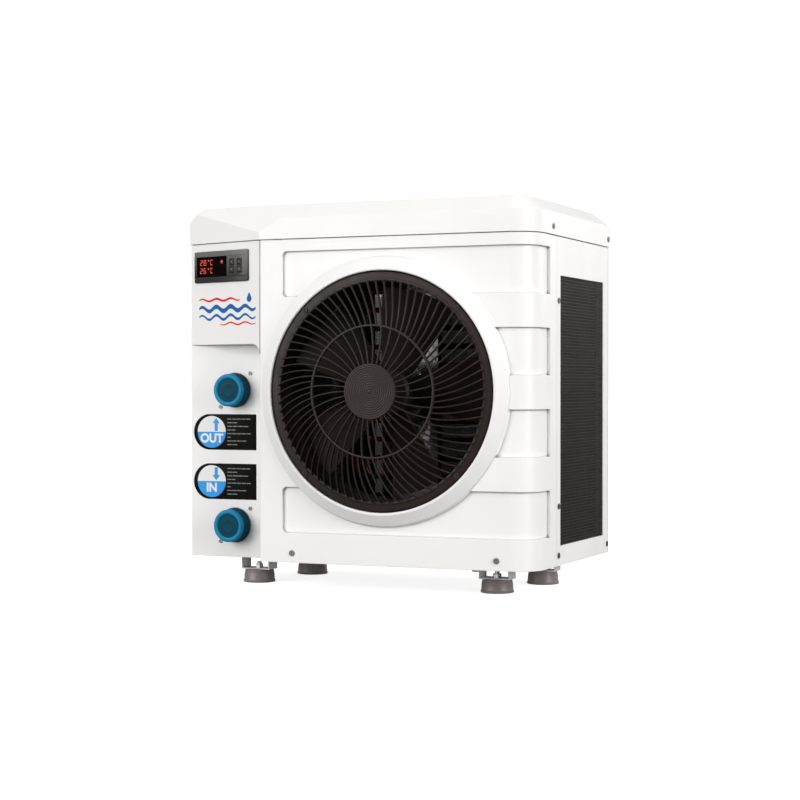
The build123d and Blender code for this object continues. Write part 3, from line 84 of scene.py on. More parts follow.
ACROSS_SLOPE = Vector((math.cos(SLOPE), -math.sin(SLOPE), 0))
OUT_OF_SLOPE = Vector((-math.sin(SLOPE), -math.cos(SLOPE), 0))
UP = Vector((0, 0, 1))


def facing(origin, across, up, out):
    """Matrix of a drawing plane: local X across, local Y up and local Z out of the surface."""
    place = Matrix((across, up, out)).transposed().to_4x4()
    place.translation = origin
    return place


def on_front(x, y, z):
    """Drawing plane that faces the front."""
    return facing(Vector((x, y, z)), Vector((1, 0, 0)), UP, Vector((0, -1, 0)))


def on_slope(node, surface):
    """Drawing plane on the sloping column, at a CAD node's middle, surface metres along its normal."""
    left, right = span(node, ACROSS_SLOPE)
    low, high = span(node, UP)
    origin = ACROSS_SLOPE * (left + right) / 2 + UP * (low + high) / 2 + OUT_OF_SLOPE * surface
    return facing(origin, ACROSS_SLOPE, UP, OUT_OF_SLOPE)


SLOPE_SURFACE = Vector((COLUMN_X, FRONT_Y, 0)).dot(OUT_OF_SLOPE)

# ---------------------------------------------------------------- settings


def length(name, description, millimetres, **limits):
    """Setting that holds a length."""
    return FloatProperty(
        name=name, description=description, subtype="DISTANCE", unit="LENGTH",
        default=millimetres * MM, precision=6, **limits,
    )


def shade(name, description, default):
    """Setting that holds a colour."""
    return FloatVectorProperty(
        name=name, description=description, subtype="COLOR", size=3, min=0, max=1, default=default,
    )


def angle(name, description, degrees):
    """Setting that holds an angle."""
    return FloatProperty(
        name=name, description=description, subtype="ANGLE", default=math.radians(degrees),
    )


def power(name, description, watts):
    """Setting that holds the power of a light."""
    return FloatProperty(name=name, description=description, subtype="POWER", default=watts)


class CasingSettings(bpy.types.PropertyGroup):
    """White casing."""

    white: shade("White", "Colour of the moulded and coated panels", (0.87, 0.865, 0.855))
    edge: length("Edge softness", "Radius of the moulded edges", 1.2, min=0)
    grain: length("Grain depth", "Depth of the fine mould grain", 0.02, min=0)
    corner: length("Corner reach", "How far the shade of an inner corner reaches", 6.0, min=0)


class GuardSettings(bpy.types.PropertyGroup):
    """Domed fan guard."""

    ribs: IntProperty(
        name="Ribs", description="Ribs that start at the hub; as many more start at the middle ring",
        default=38, min=8,
    )
    rib_width: length("Rib width", "Width of a rib", 2.0)
    rib_depth: length("Rib depth", "Depth of a rib", 3.4)
    sweep: angle("Sweep", "Turn of a rib from the hub to the rim", 15.5)
    flange: length("Flange width", "Width of the flat flange", 12.0)
    hub: length("Hub radius", "Radius of the middle disc", 34.0)
    ring: length("Middle ring", "Radius of the middle ring", 80.0)
    black: shade("Black", "Colour of the guard", (0.036, 0.0215, 0.0175))


class GrilleSettings(bpy.types.PropertyGroup):
    """Wire grilles and the coil behind them."""

    pitch: length("Wire pitch", "Distance between wires", 3.9)
    wire: length("Wire", "Thickness of a wire", 1.1)
    fin_pitch: length("Fin pitch", "Distance between fins", 2.5)
    # the fins' dark colour is painted shade inside the coil behind the grille
    fin: shade("Fins", "Colour of the coated fins", (0.032, 0.026, 0.024))


class ControllerSettings(bpy.types.PropertyGroup):
    """Controller with its display and keys."""

    upper: IntProperty(name="Upper reading", description="Upper temperature on the display", default=28)
    lower: IntProperty(name="Lower reading", description="Lower temperature on the display", default=26)
    red: shade("Digits", "Colour of the lit digits", (1.0, 0.09, 0.05))
    glow: FloatProperty(name="Glow", description="Strength of the lit digits", default=0.3, min=0)


class CapSettings(bpy.types.PropertyGroup):
    """Caps of the water ports."""

    grips: IntProperty(name="Grips", description="Grip ribs round a cap", default=44, min=6)
    rim: shade("Rim", "Colour of the rim", (0.006, 0.235, 0.45))
    # dark teal of the sunk face; on the skirt it is painted shade
    face: shade("Face", "Colour of the sunk face and the skirt", (0.003, 0.06, 0.095))


class LabelSettings(bpy.types.PropertyGroup):
    """Printed labels and the badge."""

    blue: shade("Blue", "Blue of the labels", (0.02, 0.33, 0.82))
    navy: shade("Wave blue", "Blue of the badge", (0.01, 0.13, 0.42))
    red: shade("Red", "Red of the badge", (0.8, 0.01, 0.02))


class StageSettings(bpy.types.PropertyGroup):
    """Camera and light."""

    camera: FloatVectorProperty(
        name="Camera", description="Place of the camera", subtype="TRANSLATION", unit="LENGTH",
        size=3, default=(0.9682, -2.2206, 0.2561), precision=4,
    )
    turn: angle("Turn", "How far the camera looks left of straight ahead", 23.24)
    dip: angle("Dip", "How far the camera looks down", 0.44)
    lens: FloatProperty(
        name="Lens", description="Focal length", subtype="DISTANCE_CAMERA", default=84.45,
    )
    key: power("Right light", "Power of the soft light at the right", 52.0)
    front: power("Front light", "Power of the soft light at the front left", 58.0)
    top: power("Top light", "Power of the soft light overhead", 4.0)
    back: power("Back light", "Power of the soft light behind", 22.0)
    sky: FloatProperty(
        name="Surroundings above", description="Strength of the white surroundings overhead",
        default=0.5, min=0,
    )
    ground: FloatProperty(
        name="Surroundings below", description="Strength of the white surroundings underneath",
        default=0.12, min=0,
    )


SETTINGS = {
    "heat_pump_casing": CasingSettings,
    "heat_pump_guard": GuardSettings,
    "heat_pump_grille": GrilleSettings,
    "heat_pump_controller": ControllerSettings,
    "heat_pump_caps": CapSettings,
    "heat_pump_labels": LabelSettings,
    "heat_pump_stage": StageSettings,
}

# ---------------------------------------------------------------- material nodes


def start_material(name):
    """New material with one principled shader: (material, tree, shader)."""
    material = bpy.data.materials.new(name)
    material.use_nodes = True
    tree = material.node_tree
    tree.nodes.clear()
    output = tree.nodes.new("ShaderNodeOutputMaterial")
    shader = tree.nodes.new("ShaderNodeBsdfPrincipled")
    tree.links.new(shader.outputs["BSDF"], output.inputs["Surface"])
    return material, tree, shader


def reopen(material):
    """Tree and shader of a finished material, and the socket that colours it."""
    tree = material.node_tree
    shader = next(node for node in tree.nodes if node.type == "BSDF_PRINCIPLED")
    return tree, shader, shader.inputs["Base Color"].links[0].from_socket


def paint(tree, shader, tone, rough, sheen=None):
    """Joins a colour and a roughness to the shader; sheen sets how mirror-like it is."""
    tree.links.new(tone, shader.inputs["Base Color"])
    tree.links.new(rough, shader.inputs["Roughness"])
    if sheen is not None:
        shader.inputs["Specular IOR Level"].default_value = sheen


def noise(tree, scale, detail=3.0, stretch=(1, 1, 1)):
    """Noise in the object's own metres, stretched along its axes."""
    where = tree.nodes.new("ShaderNodeTexCoord")
    mapping = tree.nodes.new("ShaderNodeMapping")
    mapping.inputs["Scale"].default_value = stretch
    texture = tree.nodes.new("ShaderNodeTexNoise")
    texture.inputs["Scale"].default_value = scale
    texture.inputs["Detail"].default_value = detail
    tree.links.new(where.outputs["Object"], mapping.inputs["Vector"])
    tree.links.new(mapping.outputs["Vector"], texture.inputs["Vector"])
    return texture.outputs["Fac"]


def map_range(tree, value, first, second, low=0.0, high=1.0):
    """Number that runs from low to high as a value goes from first to second."""
    ranged = tree.nodes.new("ShaderNodeMapRange")
    ranged.inputs["From Min"].default_value = first
    ranged.inputs["From Max"].default_value = second
    ranged.inputs["To Min"].default_value = low
    ranged.inputs["To Max"].default_value = high
    tree.links.new(value, ranged.inputs["Value"])
    return ranged.outputs["Result"]


def along_axis(tree, axis, first, second, space="Object"):
    """Share of the way from first to second along an axis."""
    where = tree.nodes.new("ShaderNodeTexCoord")
    parts = tree.nodes.new("ShaderNodeSeparateXYZ")
    tree.links.new(where.outputs[space], parts.inputs["Vector"])
    return map_range(tree, parts.outputs[axis], first, second)


def shade_between(tree, factor, first, second, low=0.35, high=0.65):
    """Colour that runs from first to second as factor goes from low to high."""
    ramp = tree.nodes.new("ShaderNodeValToRGB")
    ramp.color_ramp.elements[0].position = low
    ramp.color_ramp.elements[0].color = (*first, 1)
    ramp.color_ramp.elements[1].position = high
    ramp.color_ramp.elements[1].color = (*second, 1)
    tree.links.new(factor, ramp.inputs["Fac"])
    return ramp.outputs["Color"]


def number_between(tree, factor, first, second):
    """Number that runs from first to second over the middle of a noise's range."""
    return map_range(tree, factor, 0.3, 0.7, first, second)


def relief(tree, shader, height, depth, strength=1.0, edge=0.0):
    """Bump from a height, on top of softened edges where edge is given."""
    bump = tree.nodes.new("ShaderNodeBump")
    bump.inputs["Strength"].default_value = strength
    bump.inputs["Distance"].default_value = depth
    tree.links.new(height, bump.inputs["Height"])
    if edge > 0:
        bevel = tree.nodes.new("ShaderNodeBevel")
        bevel.samples = 6
        bevel.inputs["Radius"].default_value = edge
        tree.links.new(bevel.outputs["Normal"], bump.inputs["Normal"])
    tree.links.new(bump.outputs["Normal"], shader.inputs["Normal"])


def scaled(colour, amount):
    """Colour made darker or lighter."""
    return tuple(min(1.0, channel * amount) for channel in colour)


def surface(name, colours, tone, gloss, bump, sheen=None, extra=None):
    """Material whose colour, gloss and relief vary with noise.

    tone is (scale, detail, stretch) of the noise between the two colours, gloss is (scale, lowest and
    greatest roughness), and bump is (scale, detail, depth, strength, softened edge).
    """
    material, tree, shader = start_material(name)
    scale, low, high = gloss
    rough = number_between(tree, noise(tree, scale), low, high)
    paint(tree, shader, shade_between(tree, noise(tree, *tone), *colours), rough, sheen)
    pebble, detail, *depth = bump
    relief(tree, shader, noise(tree, pebble, detail), *depth)
    for socket, value in (extra or {}).items():
        shader.inputs[socket].default_value = value
    return material


def moulded(name, colour, rough, grain, edge=0.0, drift=0.94, pebble=1400.0, sheen=0.45):
    """Moulded plastic: faint drift of tone, mould grain and uneven gloss."""
    return surface(name, (scaled(colour, drift), colour), (9.0,), (60.0, rough - 0.05, rough + 0.06),
                   (pebble, 2.0, grain, 0.6, edge), sheen)


def paint_corner_shade(material, reach, amount):
    """Paints shade into a material's colour where faces meet in an inner corner."""
    tree, shader, coat = reopen(material)
    corner = tree.nodes.new("ShaderNodeAmbientOcclusion")
    corner.samples = 8
    corner.inputs["Distance"].default_value = reach
    # painted shade: the colour is scaled down where other faces lie close
    depth = number_between(tree, corner.outputs["AO"], 1.0 - amount, 1.0)
    mix = tree.nodes.new("ShaderNodeVectorMath")
    mix.operation = "SCALE"
    tree.links.new(coat, mix.inputs["Vector"])
    tree.links.new(depth, mix.inputs["Scale"])
    tree.links.new(mix.outputs["Vector"], shader.inputs["Base Color"])


def powder_coated(name, colour, rough, edge=0.0):
    """Powder coat on sheet steel: orange peel and a fine sparkle of gloss."""
    material, tree, shader = start_material(name)
    tone = shade_between(tree, noise(tree, 14.0), scaled(colour, 0.95), colour)
    paint(tree, shader, tone, number_between(tree, noise(tree, 420.0, 1.0), rough - 0.05, rough + 0.05))
    relief(tree, shader, noise(tree, 520.0, 1.5), 0.03 * MM, 0.7, edge)
    return material


def rubber(name, colour):
    """Satin rubber with a faint mottle."""
    return surface(name, (scaled(colour, 0.9), scaled(colour, 1.04)), (240.0, 4.0), (90.0, 0.36, 0.46),
                   (900.0, 3.0, 0.02 * MM), 0.5)


def bare_metal(name, colour, rough, stretch=(1, 1, 12), tarnish=0.75):
    """Bare metal with drawing or rolling marks."""
    material, tree, shader = start_material(name)
    tone = shade_between(tree, noise(tree, 35.0, 4.0), scaled(colour, tarnish), colour, 0.3, 0.7)
    marks = noise(tree, 260.0, 4.0, stretch)
    paint(tree, shader, tone, number_between(tree, marks, rough - 0.08, rough + 0.12))
    relief(tree, shader, marks, 0.02 * MM, 0.5)
    shader.inputs["Metallic"].default_value = 1.0
    return material


def enamelled(name, colour, rough):
    """Thick brushed-on enamel with runs and orange peel."""
    return surface(name, (scaled(colour, 0.6), scaled(colour, 1.2)), (22.0, 2.0, (1, 1, 0.3)),
                   (70.0, rough - 0.08, rough + 0.1), (300.0, 1.0, 0.05 * MM), extra={"Coat Weight": 0.4})


def circuit_board(name, colour):
    """Solder mask with the tracks showing through."""
    material, tree, shader = start_material(name)
    where = tree.nodes.new("ShaderNodeTexCoord")
    tracks = tree.nodes.new("ShaderNodeTexBrick")
    tracks.inputs["Scale"].default_value = 240.0
    tracks.inputs["Color1"].default_value = (*colour, 1)
    tracks.inputs["Color2"].default_value = (*scaled(colour, 0.75), 1)
    tracks.inputs["Mortar"].default_value = (*scaled(colour, 1.9), 1)
    tree.links.new(where.outputs["Object"], tracks.inputs["Vector"])
    paint(tree, shader, tracks.outputs["Color"], number_between(tree, noise(tree, 80.0), 0.25, 0.4))
    relief(tree, shader, tracks.outputs["Fac"], 0.05 * MM)
    return material


def printed(name, colour, rough=0.35, sheen=0.2):
    """Printed film: even ink over a fine screen."""
    return surface(name, (scaled(colour, 0.9), colour), (700.0, 2.0), (120.0, rough - 0.06, rough + 0.08),
                   (1100.0, 1.0, 0.008 * MM), sheen)


def lit(name, colour, strength):
    """Lit display segments, a little uneven."""
    material, tree, shader = start_material(name)
    tone = shade_between(tree, noise(tree, 500.0, 1.0), scaled(colour, 0.75), colour)
    paint(tree, shader, tone, number_between(tree, noise(tree, 300.0), 0.35, 0.5))
    tree.links.new(tone, shader.inputs["Emission Color"])
    shader.inputs["Emission Strength"].default_value = strength
    return material


def display_film(name):
    """Dark tinted film over the display."""
    return surface(name, ((0.002, 0.001, 0.001), (0.004, 0.002, 0.002)), (60.0,), (90.0, 0.1, 0.18),
                   (200.0, 1.0, 0.005 * MM), 0.04)


def sheet_with_painted_inner_shade(name, colour):
    """Powder-coated sheet whose inner face is painted near black as painted shade inside the casing."""
    material = powder_coated(name, colour, 0.45)
    tree, shader, coat = reopen(material)
    outer_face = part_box("rear_panel")[1][1]
    outside = along_axis(tree, "Y", outer_face - 0.6 * MM, outer_face - 0.2 * MM)
    # painted shade: near-black colour on the inner face
    inner_shade = shade_between(tree, noise(tree, 900.0), (0.012, 0.01, 0.01), (0.03, 0.026, 0.025))
    mix = tree.nodes.new("ShaderNodeMix")
    mix.data_type = "RGBA"
    tree.links.new(outside, mix.inputs["Factor"])
    tree.links.new(inner_shade, mix.inputs["A"])
    tree.links.new(coat, mix.inputs["B"])
    tree.links.new(mix.outputs["Result"], shader.inputs["Base Color"])
    return material


def bezel_with_painted_highlight(name):
    """Dark moulded plastic with a painted highlight that pales it towards the top edge."""
    material = moulded(name, (0.05, 0.05, 0.05), 0.36, 0.02 * MM, 0.4 * MM, pebble=1300.0, sheen=0.3)
    tree, shader, _ = reopen(material)
    low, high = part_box("controller_bezel")
    # painted highlight: dark at the bottom, pale grey at the top edge
    rise = along_axis(tree, "Z", low[2], high[2])
    tone = shade_between(tree, rise, (0.018, 0.018, 0.018), (0.15, 0.15, 0.15), 0.1, 1.0)
    tree.links.new(tone, shader.inputs["Base Color"])
    return material


def recipes(scene):
    """How each slot of the record is finished, and the extra finishes of the fine pieces."""
    casing = scene.heat_pump_casing
    white = tuple(casing.white)
    black = tuple(scene.heat_pump_guard.black)
    fin = tuple(scene.heat_pump_grille.fin)
    labels = scene.heat_pump_labels
    caps = scene.heat_pump_caps
    digits = scene.heat_pump_controller
    blue_part = {"edge": 0.2 * MM, "sheen": 0.12}
    return {
        "white_plastic": (moulded, white, 0.42, casing.grain, {"edge": casing.edge, "drift": 0.97}),
        "white_steel": (powder_coated, white, 0.45, 0.4 * MM),
        "black_plastic": (moulded, scaled(black, 0.68), 0.44, 0.03 * MM,
                          {"edge": 0.3 * MM, "drift": 0.8, "pebble": 1100.0, "sheen": 0.22}),
        # darker copy of the guard black: painted shade on the impeller inside the duct
        "fan_black": (moulded, scaled(black, 0.4), 0.5, 0.03 * MM,
                      {"drift": 0.8, "pebble": 1100.0, "sheen": 0.2}),
        "black_wire": (powder_coated, (0.022, 0.0165, 0.015), 0.5),
        "grey_rubber": (rubber, (0.24, 0.205, 0.195)),
        "black_rubber": (rubber, (0.03, 0.03, 0.03)),
        "blue_plastic": (moulded, tuple(caps.rim), 0.33, 0.01 * MM, {**blue_part, "drift": 0.85}),
        "steel": (bare_metal, (0.62, 0.62, 0.61), 0.28, (1, 12, 1)),
        "zinc_steel": (bare_metal, (0.66, 0.67, 0.68), 0.34, (1, 1, 3)),
        "aluminium": (bare_metal, (0.76, 0.76, 0.77), 0.33, (1, 10, 1)),
        # dark fins: painted shade inside the coil
        "fin_aluminium": (moulded, fin, 0.5, 0.03 * MM, {"drift": 0.7, "pebble": 500.0}),
        "copper": (bare_metal, (0.8, 0.38, 0.22), 0.3, (4, 4, 1), 0.6),
        "brass": (bare_metal, (0.78, 0.58, 0.28), 0.3),
        "titanium": (bare_metal, (0.5, 0.48, 0.45), 0.35),
        "grey_plastic": (moulded, (0.3, 0.31, 0.32), 0.5, 0.03 * MM, {"edge": 0.5 * MM, "drift": 0.9}),
        "black_paint": (enamelled, (0.02, 0.02, 0.022), 0.3),
        "green_board": (circuit_board, (0.02, 0.18, 0.07)),
        "label_print": (printed, (0.004, 0.004, 0.0035), 0.5, 0.06),
        "screw_steel": (bare_metal, (0.2, 0.195, 0.19), 0.4),
        "rear_sheet": (sheet_with_painted_inner_shade, white),
        # sunk face colour, and painted shade on the skirt
        "cap_face": (moulded, tuple(caps.face), 0.4, 0.015 * MM,
                     {**blue_part, "drift": 0.75, "sheen": 0.05}),
        "label_white": (printed, (0.85, 0.86, 0.86)),
        "label_grey": (printed, (0.2, 0.2, 0.2)),
        "label_blue": (printed, tuple(labels.blue)),
        "badge_navy": (printed, tuple(labels.navy)),
        "badge_red": (printed, tuple(labels.red)),
        "key_mark": (printed, (0.12, 0.12, 0.125), 0.5),
        "bezel": (bezel_with_painted_highlight,),
        "display_film": (display_film,),
        "digits": (lit, tuple(digits.red), digits.glow),
    }


def finishes(scene):
    """Every finish by name; the white ones get painted shade in their inner corners."""
    made = {}
    for name, (build, *values) in recipes(scene).items():
        named = values.pop() if values and isinstance(values[-1], dict) else {}
        made[name] = build(name, *values, **named)
    # painted shade in the inner corners of the white panels and sheets
    for name in ("white_plastic", "white_steel"):
        paint_corner_shade(made[name], scene.heat_pump_casing.corner, 0.8)
    return made


FINISH = {}

# Finishes other than the slot's: dark steel screw heads, and dark finishes on the rear sheet, motor
# bracket, coil end plates and impeller as painted shade inside the casing
OWN_FINISH_OR_PAINTED_SHADE = {
    "rear_panel": "rear_sheet",
    "casing_screws": "screw_steel",
    "motor_bracket": "black_paint",
    "evaporator_end_plates": "black_paint",
    "fan_impeller": "fan_black",
}

# ---------------------------------------------------------------- mesh helpers


def make_piece(name, bm, finish_names, body="chassis", stands_for=(), soft=40.0):
    """Object from a mesh in the frame's metres, riding on its body."""
    bmesh.ops.remove_doubles(bm, verts=bm.verts, dist=1e-7)
    bmesh.ops.recalc_face_normals(bm, faces=bm.faces)
    mesh = bpy.data.meshes.new(name)
    bm.to_mesh(mesh)
    bm.free()
    for finish in finish_names:
        mesh.materials.append(FINISH[finish])
    piece = bpy.data.objects.new(name, mesh)
    bpy.context.scene.collection.objects.link(piece)
    mesh.shade_smooth()
    mesh.set_sharp_from_angle(angle=math.radians(soft))
    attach(piece, body)
    if stands_for:
        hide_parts(*stands_for)
    return piece


def loft_rings(bm, rings, finish=0, capped=True):
    """Skin over rings of points that all have the same count."""
    loops = [[bm.verts.new(point) for point in ring] for ring in rings]
    faces = []
    for low, high in zip(loops, loops[1:]):
        for index in range(len(low)):
            after = (index + 1) % len(low)
            faces.append(bm.faces.new((low[index], low[after], high[after], high[index])))
    if capped:
        faces.append(bm.faces.new(list(reversed(loops[0]))))
        faces.append(bm.faces.new(loops[-1]))
    for face in faces:
        face.material_index = finish


def offsets(radius, height, *points):
    """Profile points given in millimetres from a radius and a height."""
    return [(radius + across * MM, height + rise * MM, *gripped) for across, rise, *gripped in points]


def turn_profile(bm, profile, place, steps=96, finish=0, grips=0, grip_depth=0.0):
    """Turned shape from (radius, height) points; the ones with a third value carry grip ribs."""
    rows = []
    for radius, height, *gripped in profile:
        if radius < 1e-6:
            rows.append([bm.verts.new(place @ Vector((0, 0, height)))])
            continue
        row = []
        for step in range(steps):
            angle = step * 2 * math.pi / steps
            reach = radius
            if gripped:
                reach -= grip_depth * (0.5 - 0.5 * math.cos(grips * angle)) ** 2
            point = Vector((reach * math.cos(angle), reach * math.sin(angle), height))
            row.append(bm.verts.new(place @ point))
        rows.append(row)
    for low, high in zip(rows, rows[1:]):
        for step in range(steps):
            after = (step + 1) % steps
            if len(low) == 1:
                corners = (low[0], high[after], high[step])
            elif len(high) == 1:
                corners = (low[step], low[after], high[0])
            else:
                corners = (low[step], low[after], high[after], high[step])
            bm.faces.new(corners).material_index = finish


def rounded_rectangle(width, height, radius, steps=5):
    """Points of a rounded rectangle about the origin."""
    points = []
    for quarter, (side, rise) in enumerate(((1, 1), (-1, 1), (-1, -1), (1, -1))):
        centre = Vector((side * (width / 2 - radius), rise * (height / 2 - radius)))
        for step in range(steps + 1):
            angle = (quarter + step / steps) * math.pi / 2
            points.append(centre + radius * Vector((math.cos(angle), math.sin(angle))))
    return points


def plate(bm, place, outline, low, high, edge=0.0, finish=0):
    """Slab on an outline, from low to high out of the drawing plane, with a softened upper edge."""
    centre = sum(outline, Vector((0, 0))) / len(outline)
    rings = [(low, 0.0), (high - edge, 0.0)]
    if edge > 0:
        rings += [(high - 0.3 * edge, 0.3 * edge), (high, edge)]
    levels = []
    for height, inset in rings:
        ring = []
        for point in outline:
            away = (point - centre).normalized()
            ring.append(place @ Vector((*(point - away * inset), height)))
        levels.append(ring)
    loft_rings(bm, levels, finish)


def bar(bm, place, x0, x1, y0, y1, low, high, finish=0, edge=0.0):
    """Straight-sided plate between two corners."""
    outline = [Vector((x1, y1)), Vector((x0, y1)), Vector((x0, y0)), Vector((x1, y0))]
    plate(bm, place, outline, low, high, edge, finish)


def wire(bm, start, end, radius, side, up, sides=6):
    """Straight wire."""
    rings = []
    for point in (start, end):
        rings.append([
            point + radius * (math.cos(turn) * side + math.sin(turn) * up)
            for turn in (index * 2 * math.pi / sides for index in range(sides))
        ])
    loft_rings(bm, rings)


# ---------------------------------------------------------------- pieces


class HEATPUMP_OT_finishes(bpy.types.Operator):
    """Gives every CAD node the procedural finish of its slot, or a dark finish that paints shade inside
    the casing
    """

    bl_idname = "heatpump.finishes"
    bl_label = "Finishes"

    def execute(self, context):
        FINISH.update(finishes(context.scene))
        for node, piece in frame["nodes"].items():
            finish = FINISH[OWN_FINISH_OR_PAINTED_SHADE.get(node, SLOTS[node])]
            if not piece.data.materials:
                piece.data.materials.append(finish)
            for material_slot in piece.material_slots:
                material_slot.material = finish
        soften = frame["nodes"]["fan_shroud"].modifiers.new("rolled_lip", "BEVEL")
        soften.width = 3.0 * MM
        soften.segments = 4
        soften.limit_method = "ANGLE"
        soften.angle_limit = math.radians(50)
        return {"FINISHED"}


class HEATPUMP_OT_guard(bpy.types.Operator):
    """Domed fan guard with swept ribs"""

    bl_idname = "heatpump.guard"
    bl_label = "Fan guard"

    def execute(self, context):
        settings = context.scene.heat_pump_guard
        low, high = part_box("fan_guard")
        radius = (high[0] - low[0]) / 2
        place = on_front((low[0] + high[0]) / 2, high[1], (low[2] + high[2]) / 2)
        total = high[1] - low[1]
        rim = radius - settings.flange
        thickness = 2.0 * MM
        rise = total - thickness
        reach = rim + 4.0 * MM
        bm = bmesh.new()
        turn_profile(bm, [
            (rim, 0),
            *offsets(radius, 0, (-0.4, 0), (0, 0.4)),
            *offsets(radius, thickness, (0, -0.8), (-0.3, -0.25), (-0.9, 0)),
            *offsets(rim, thickness, (5.2, 0), (4.2, 0.25), (3.6, 0.6), (0.5, 0.6), (0, 0.2)),
            (rim, 0),
        ], place, 220)
        hub_top = thickness + rise
        hub = [
            (0, hub_top - 4.6 * MM),
            *offsets(settings.hub, hub_top, (0, -4.6), (0, -1.2), (-0.4, -0.4), (-1.4, 0)),
        ]
        for ring in range(11):
            edge = settings.hub - (3.0 + 2.8 * ring) * MM
            hub += offsets(edge, hub_top, (0.5, 0), (0, -0.25), (-0.5, 0))
        hub.append((0, hub_top))
        turn_profile(bm, hub, place, 128)
        dome = thickness + rise * math.sqrt(1 - (settings.ring / reach) ** 2)
        back = dome - settings.rib_depth - 0.6 * MM
        half = 1.3 * MM
        turn_profile(bm, [
            (settings.ring - half, back), (settings.ring + half, back),
            (settings.ring + half, dome - 0.5 * MM),
            (settings.ring + 0.5 * half, dome - 0.1 * MM), (settings.ring - 0.5 * half, dome),
            (settings.ring - half, dome - 0.3 * MM), (settings.ring - half, back),
        ], place, 160)
        for index in range(settings.ribs):
            turn = index * 2 * math.pi / settings.ribs
            between = turn + math.pi / settings.ribs
            dish = (rim, reach, rise, thickness)
            self.rib(bm, place, settings, settings.hub - 1.5 * MM, turn, *dish)
            self.rib(bm, place, settings, settings.ring - 0.6 * MM, between, *dish)
        make_piece("fan_guard_moulding", bm, ["black_plastic"], stands_for=["fan_guard"])
        return {"FINISHED"}

    def rib(self, bm, place, settings, start, turn, rim, reach, rise, thickness):
        """One swept rib of rounded section, from radius start to the rim."""
        run = rim * math.cos(settings.sweep) - settings.hub
        side = rim * math.sin(settings.sweep)
        bend = (run ** 2 + side ** 2) / (2 * side)
        half = settings.rib_width / 2
        steps = 18
        line = []
        for index in range(steps + 1):
            wanted = start + (rim + 1.5 * MM - start) * index / steps
            line.append(self.arc_point(wanted, settings.hub, bend))
        rings = []
        for index, point in enumerate(line):
            ahead = line[min(index + 1, steps)] - line[max(index - 1, 0)]
            ahead.normalize()
            aside = Vector((-ahead.y, ahead.x))
            radius = point.length
            height = thickness - 0.2 * MM + rise * math.sqrt(max(0.0, 1 - (radius / reach) ** 2))
            depth = min(settings.rib_depth, height)
            section = ((-1, depth), (-1, 0.9 * MM), (-0.75, 0.3 * MM), (-0.3, 0), (0.3, 0),
                       (0.75, 0.3 * MM), (1, 0.9 * MM), (1, depth))
            ring = []
            for across, down in section:
                flat = point + aside * across * half
                spun = Vector((
                    flat.x * math.cos(turn) - flat.y * math.sin(turn),
                    flat.x * math.sin(turn) + flat.y * math.cos(turn),
                    height - down,
                ))
                ring.append(place @ spun)
            rings.append(ring)
        loft_rings(bm, rings)

    def arc_point(self, radius, hub, bend):
        """Point of the rib's arc at a radius from the guard's axis."""
        low, high = -0.2, 1.2
        for _ in range(40):
            angle = (low + high) / 2
            point = Vector((hub + bend * math.sin(angle), bend * (1 - math.cos(angle))))
            if point.length < radius:
                low = angle
            else:
                high = angle
        return point


class HEATPUMP_OT_grilles(bpy.types.Operator):
    """Welded wire grilles in the side and rear windows"""

    bl_idname = "heatpump.grilles"
    bl_label = "Grilles"

    def execute(self, context):
        self.grille("side_grille_mesh", Vector((0, 1, 0)), Vector((1, 0, 0)), "side_grille_wires")
        self.grille("rear_grille_mesh", Vector((1, 0, 0)), Vector((0, 1, 0)), "rear_grille_wires")
        return {"FINISHED"}

    def grille(self, node, along, out, name):
        """Crossed wires in a frame, where the CAD mesh lies."""
        settings = bpy.context.scene.heat_pump_grille
        left, right = span(node, along)
        low, high = span(node, UP)
        inner, outer = span(node, out)
        radius = settings.wire / 2
        depth = (inner + outer) / 2
        bm = bmesh.new()
        count = round((right - left - 2 * radius) / settings.pitch)
        for index in range(count + 1):
            place = left + radius + (right - left - 2 * radius) * index / count
            base = along * place + out * (depth + 0.25 * radius)
            wire(bm, base + UP * low, base + UP * high, radius * 0.8, along, out)
        count = round((high - low - 2 * radius) / settings.pitch)
        for index in range(count + 1):
            height = low + radius + (high - low - 2 * radius) * index / count
            base = UP * height + out * (depth - 0.25 * radius)
            wire(bm, base + along * left, base + along * right, radius * 0.8, UP, out)
        make_piece(name, bm, ["black_wire"], stands_for=[node])


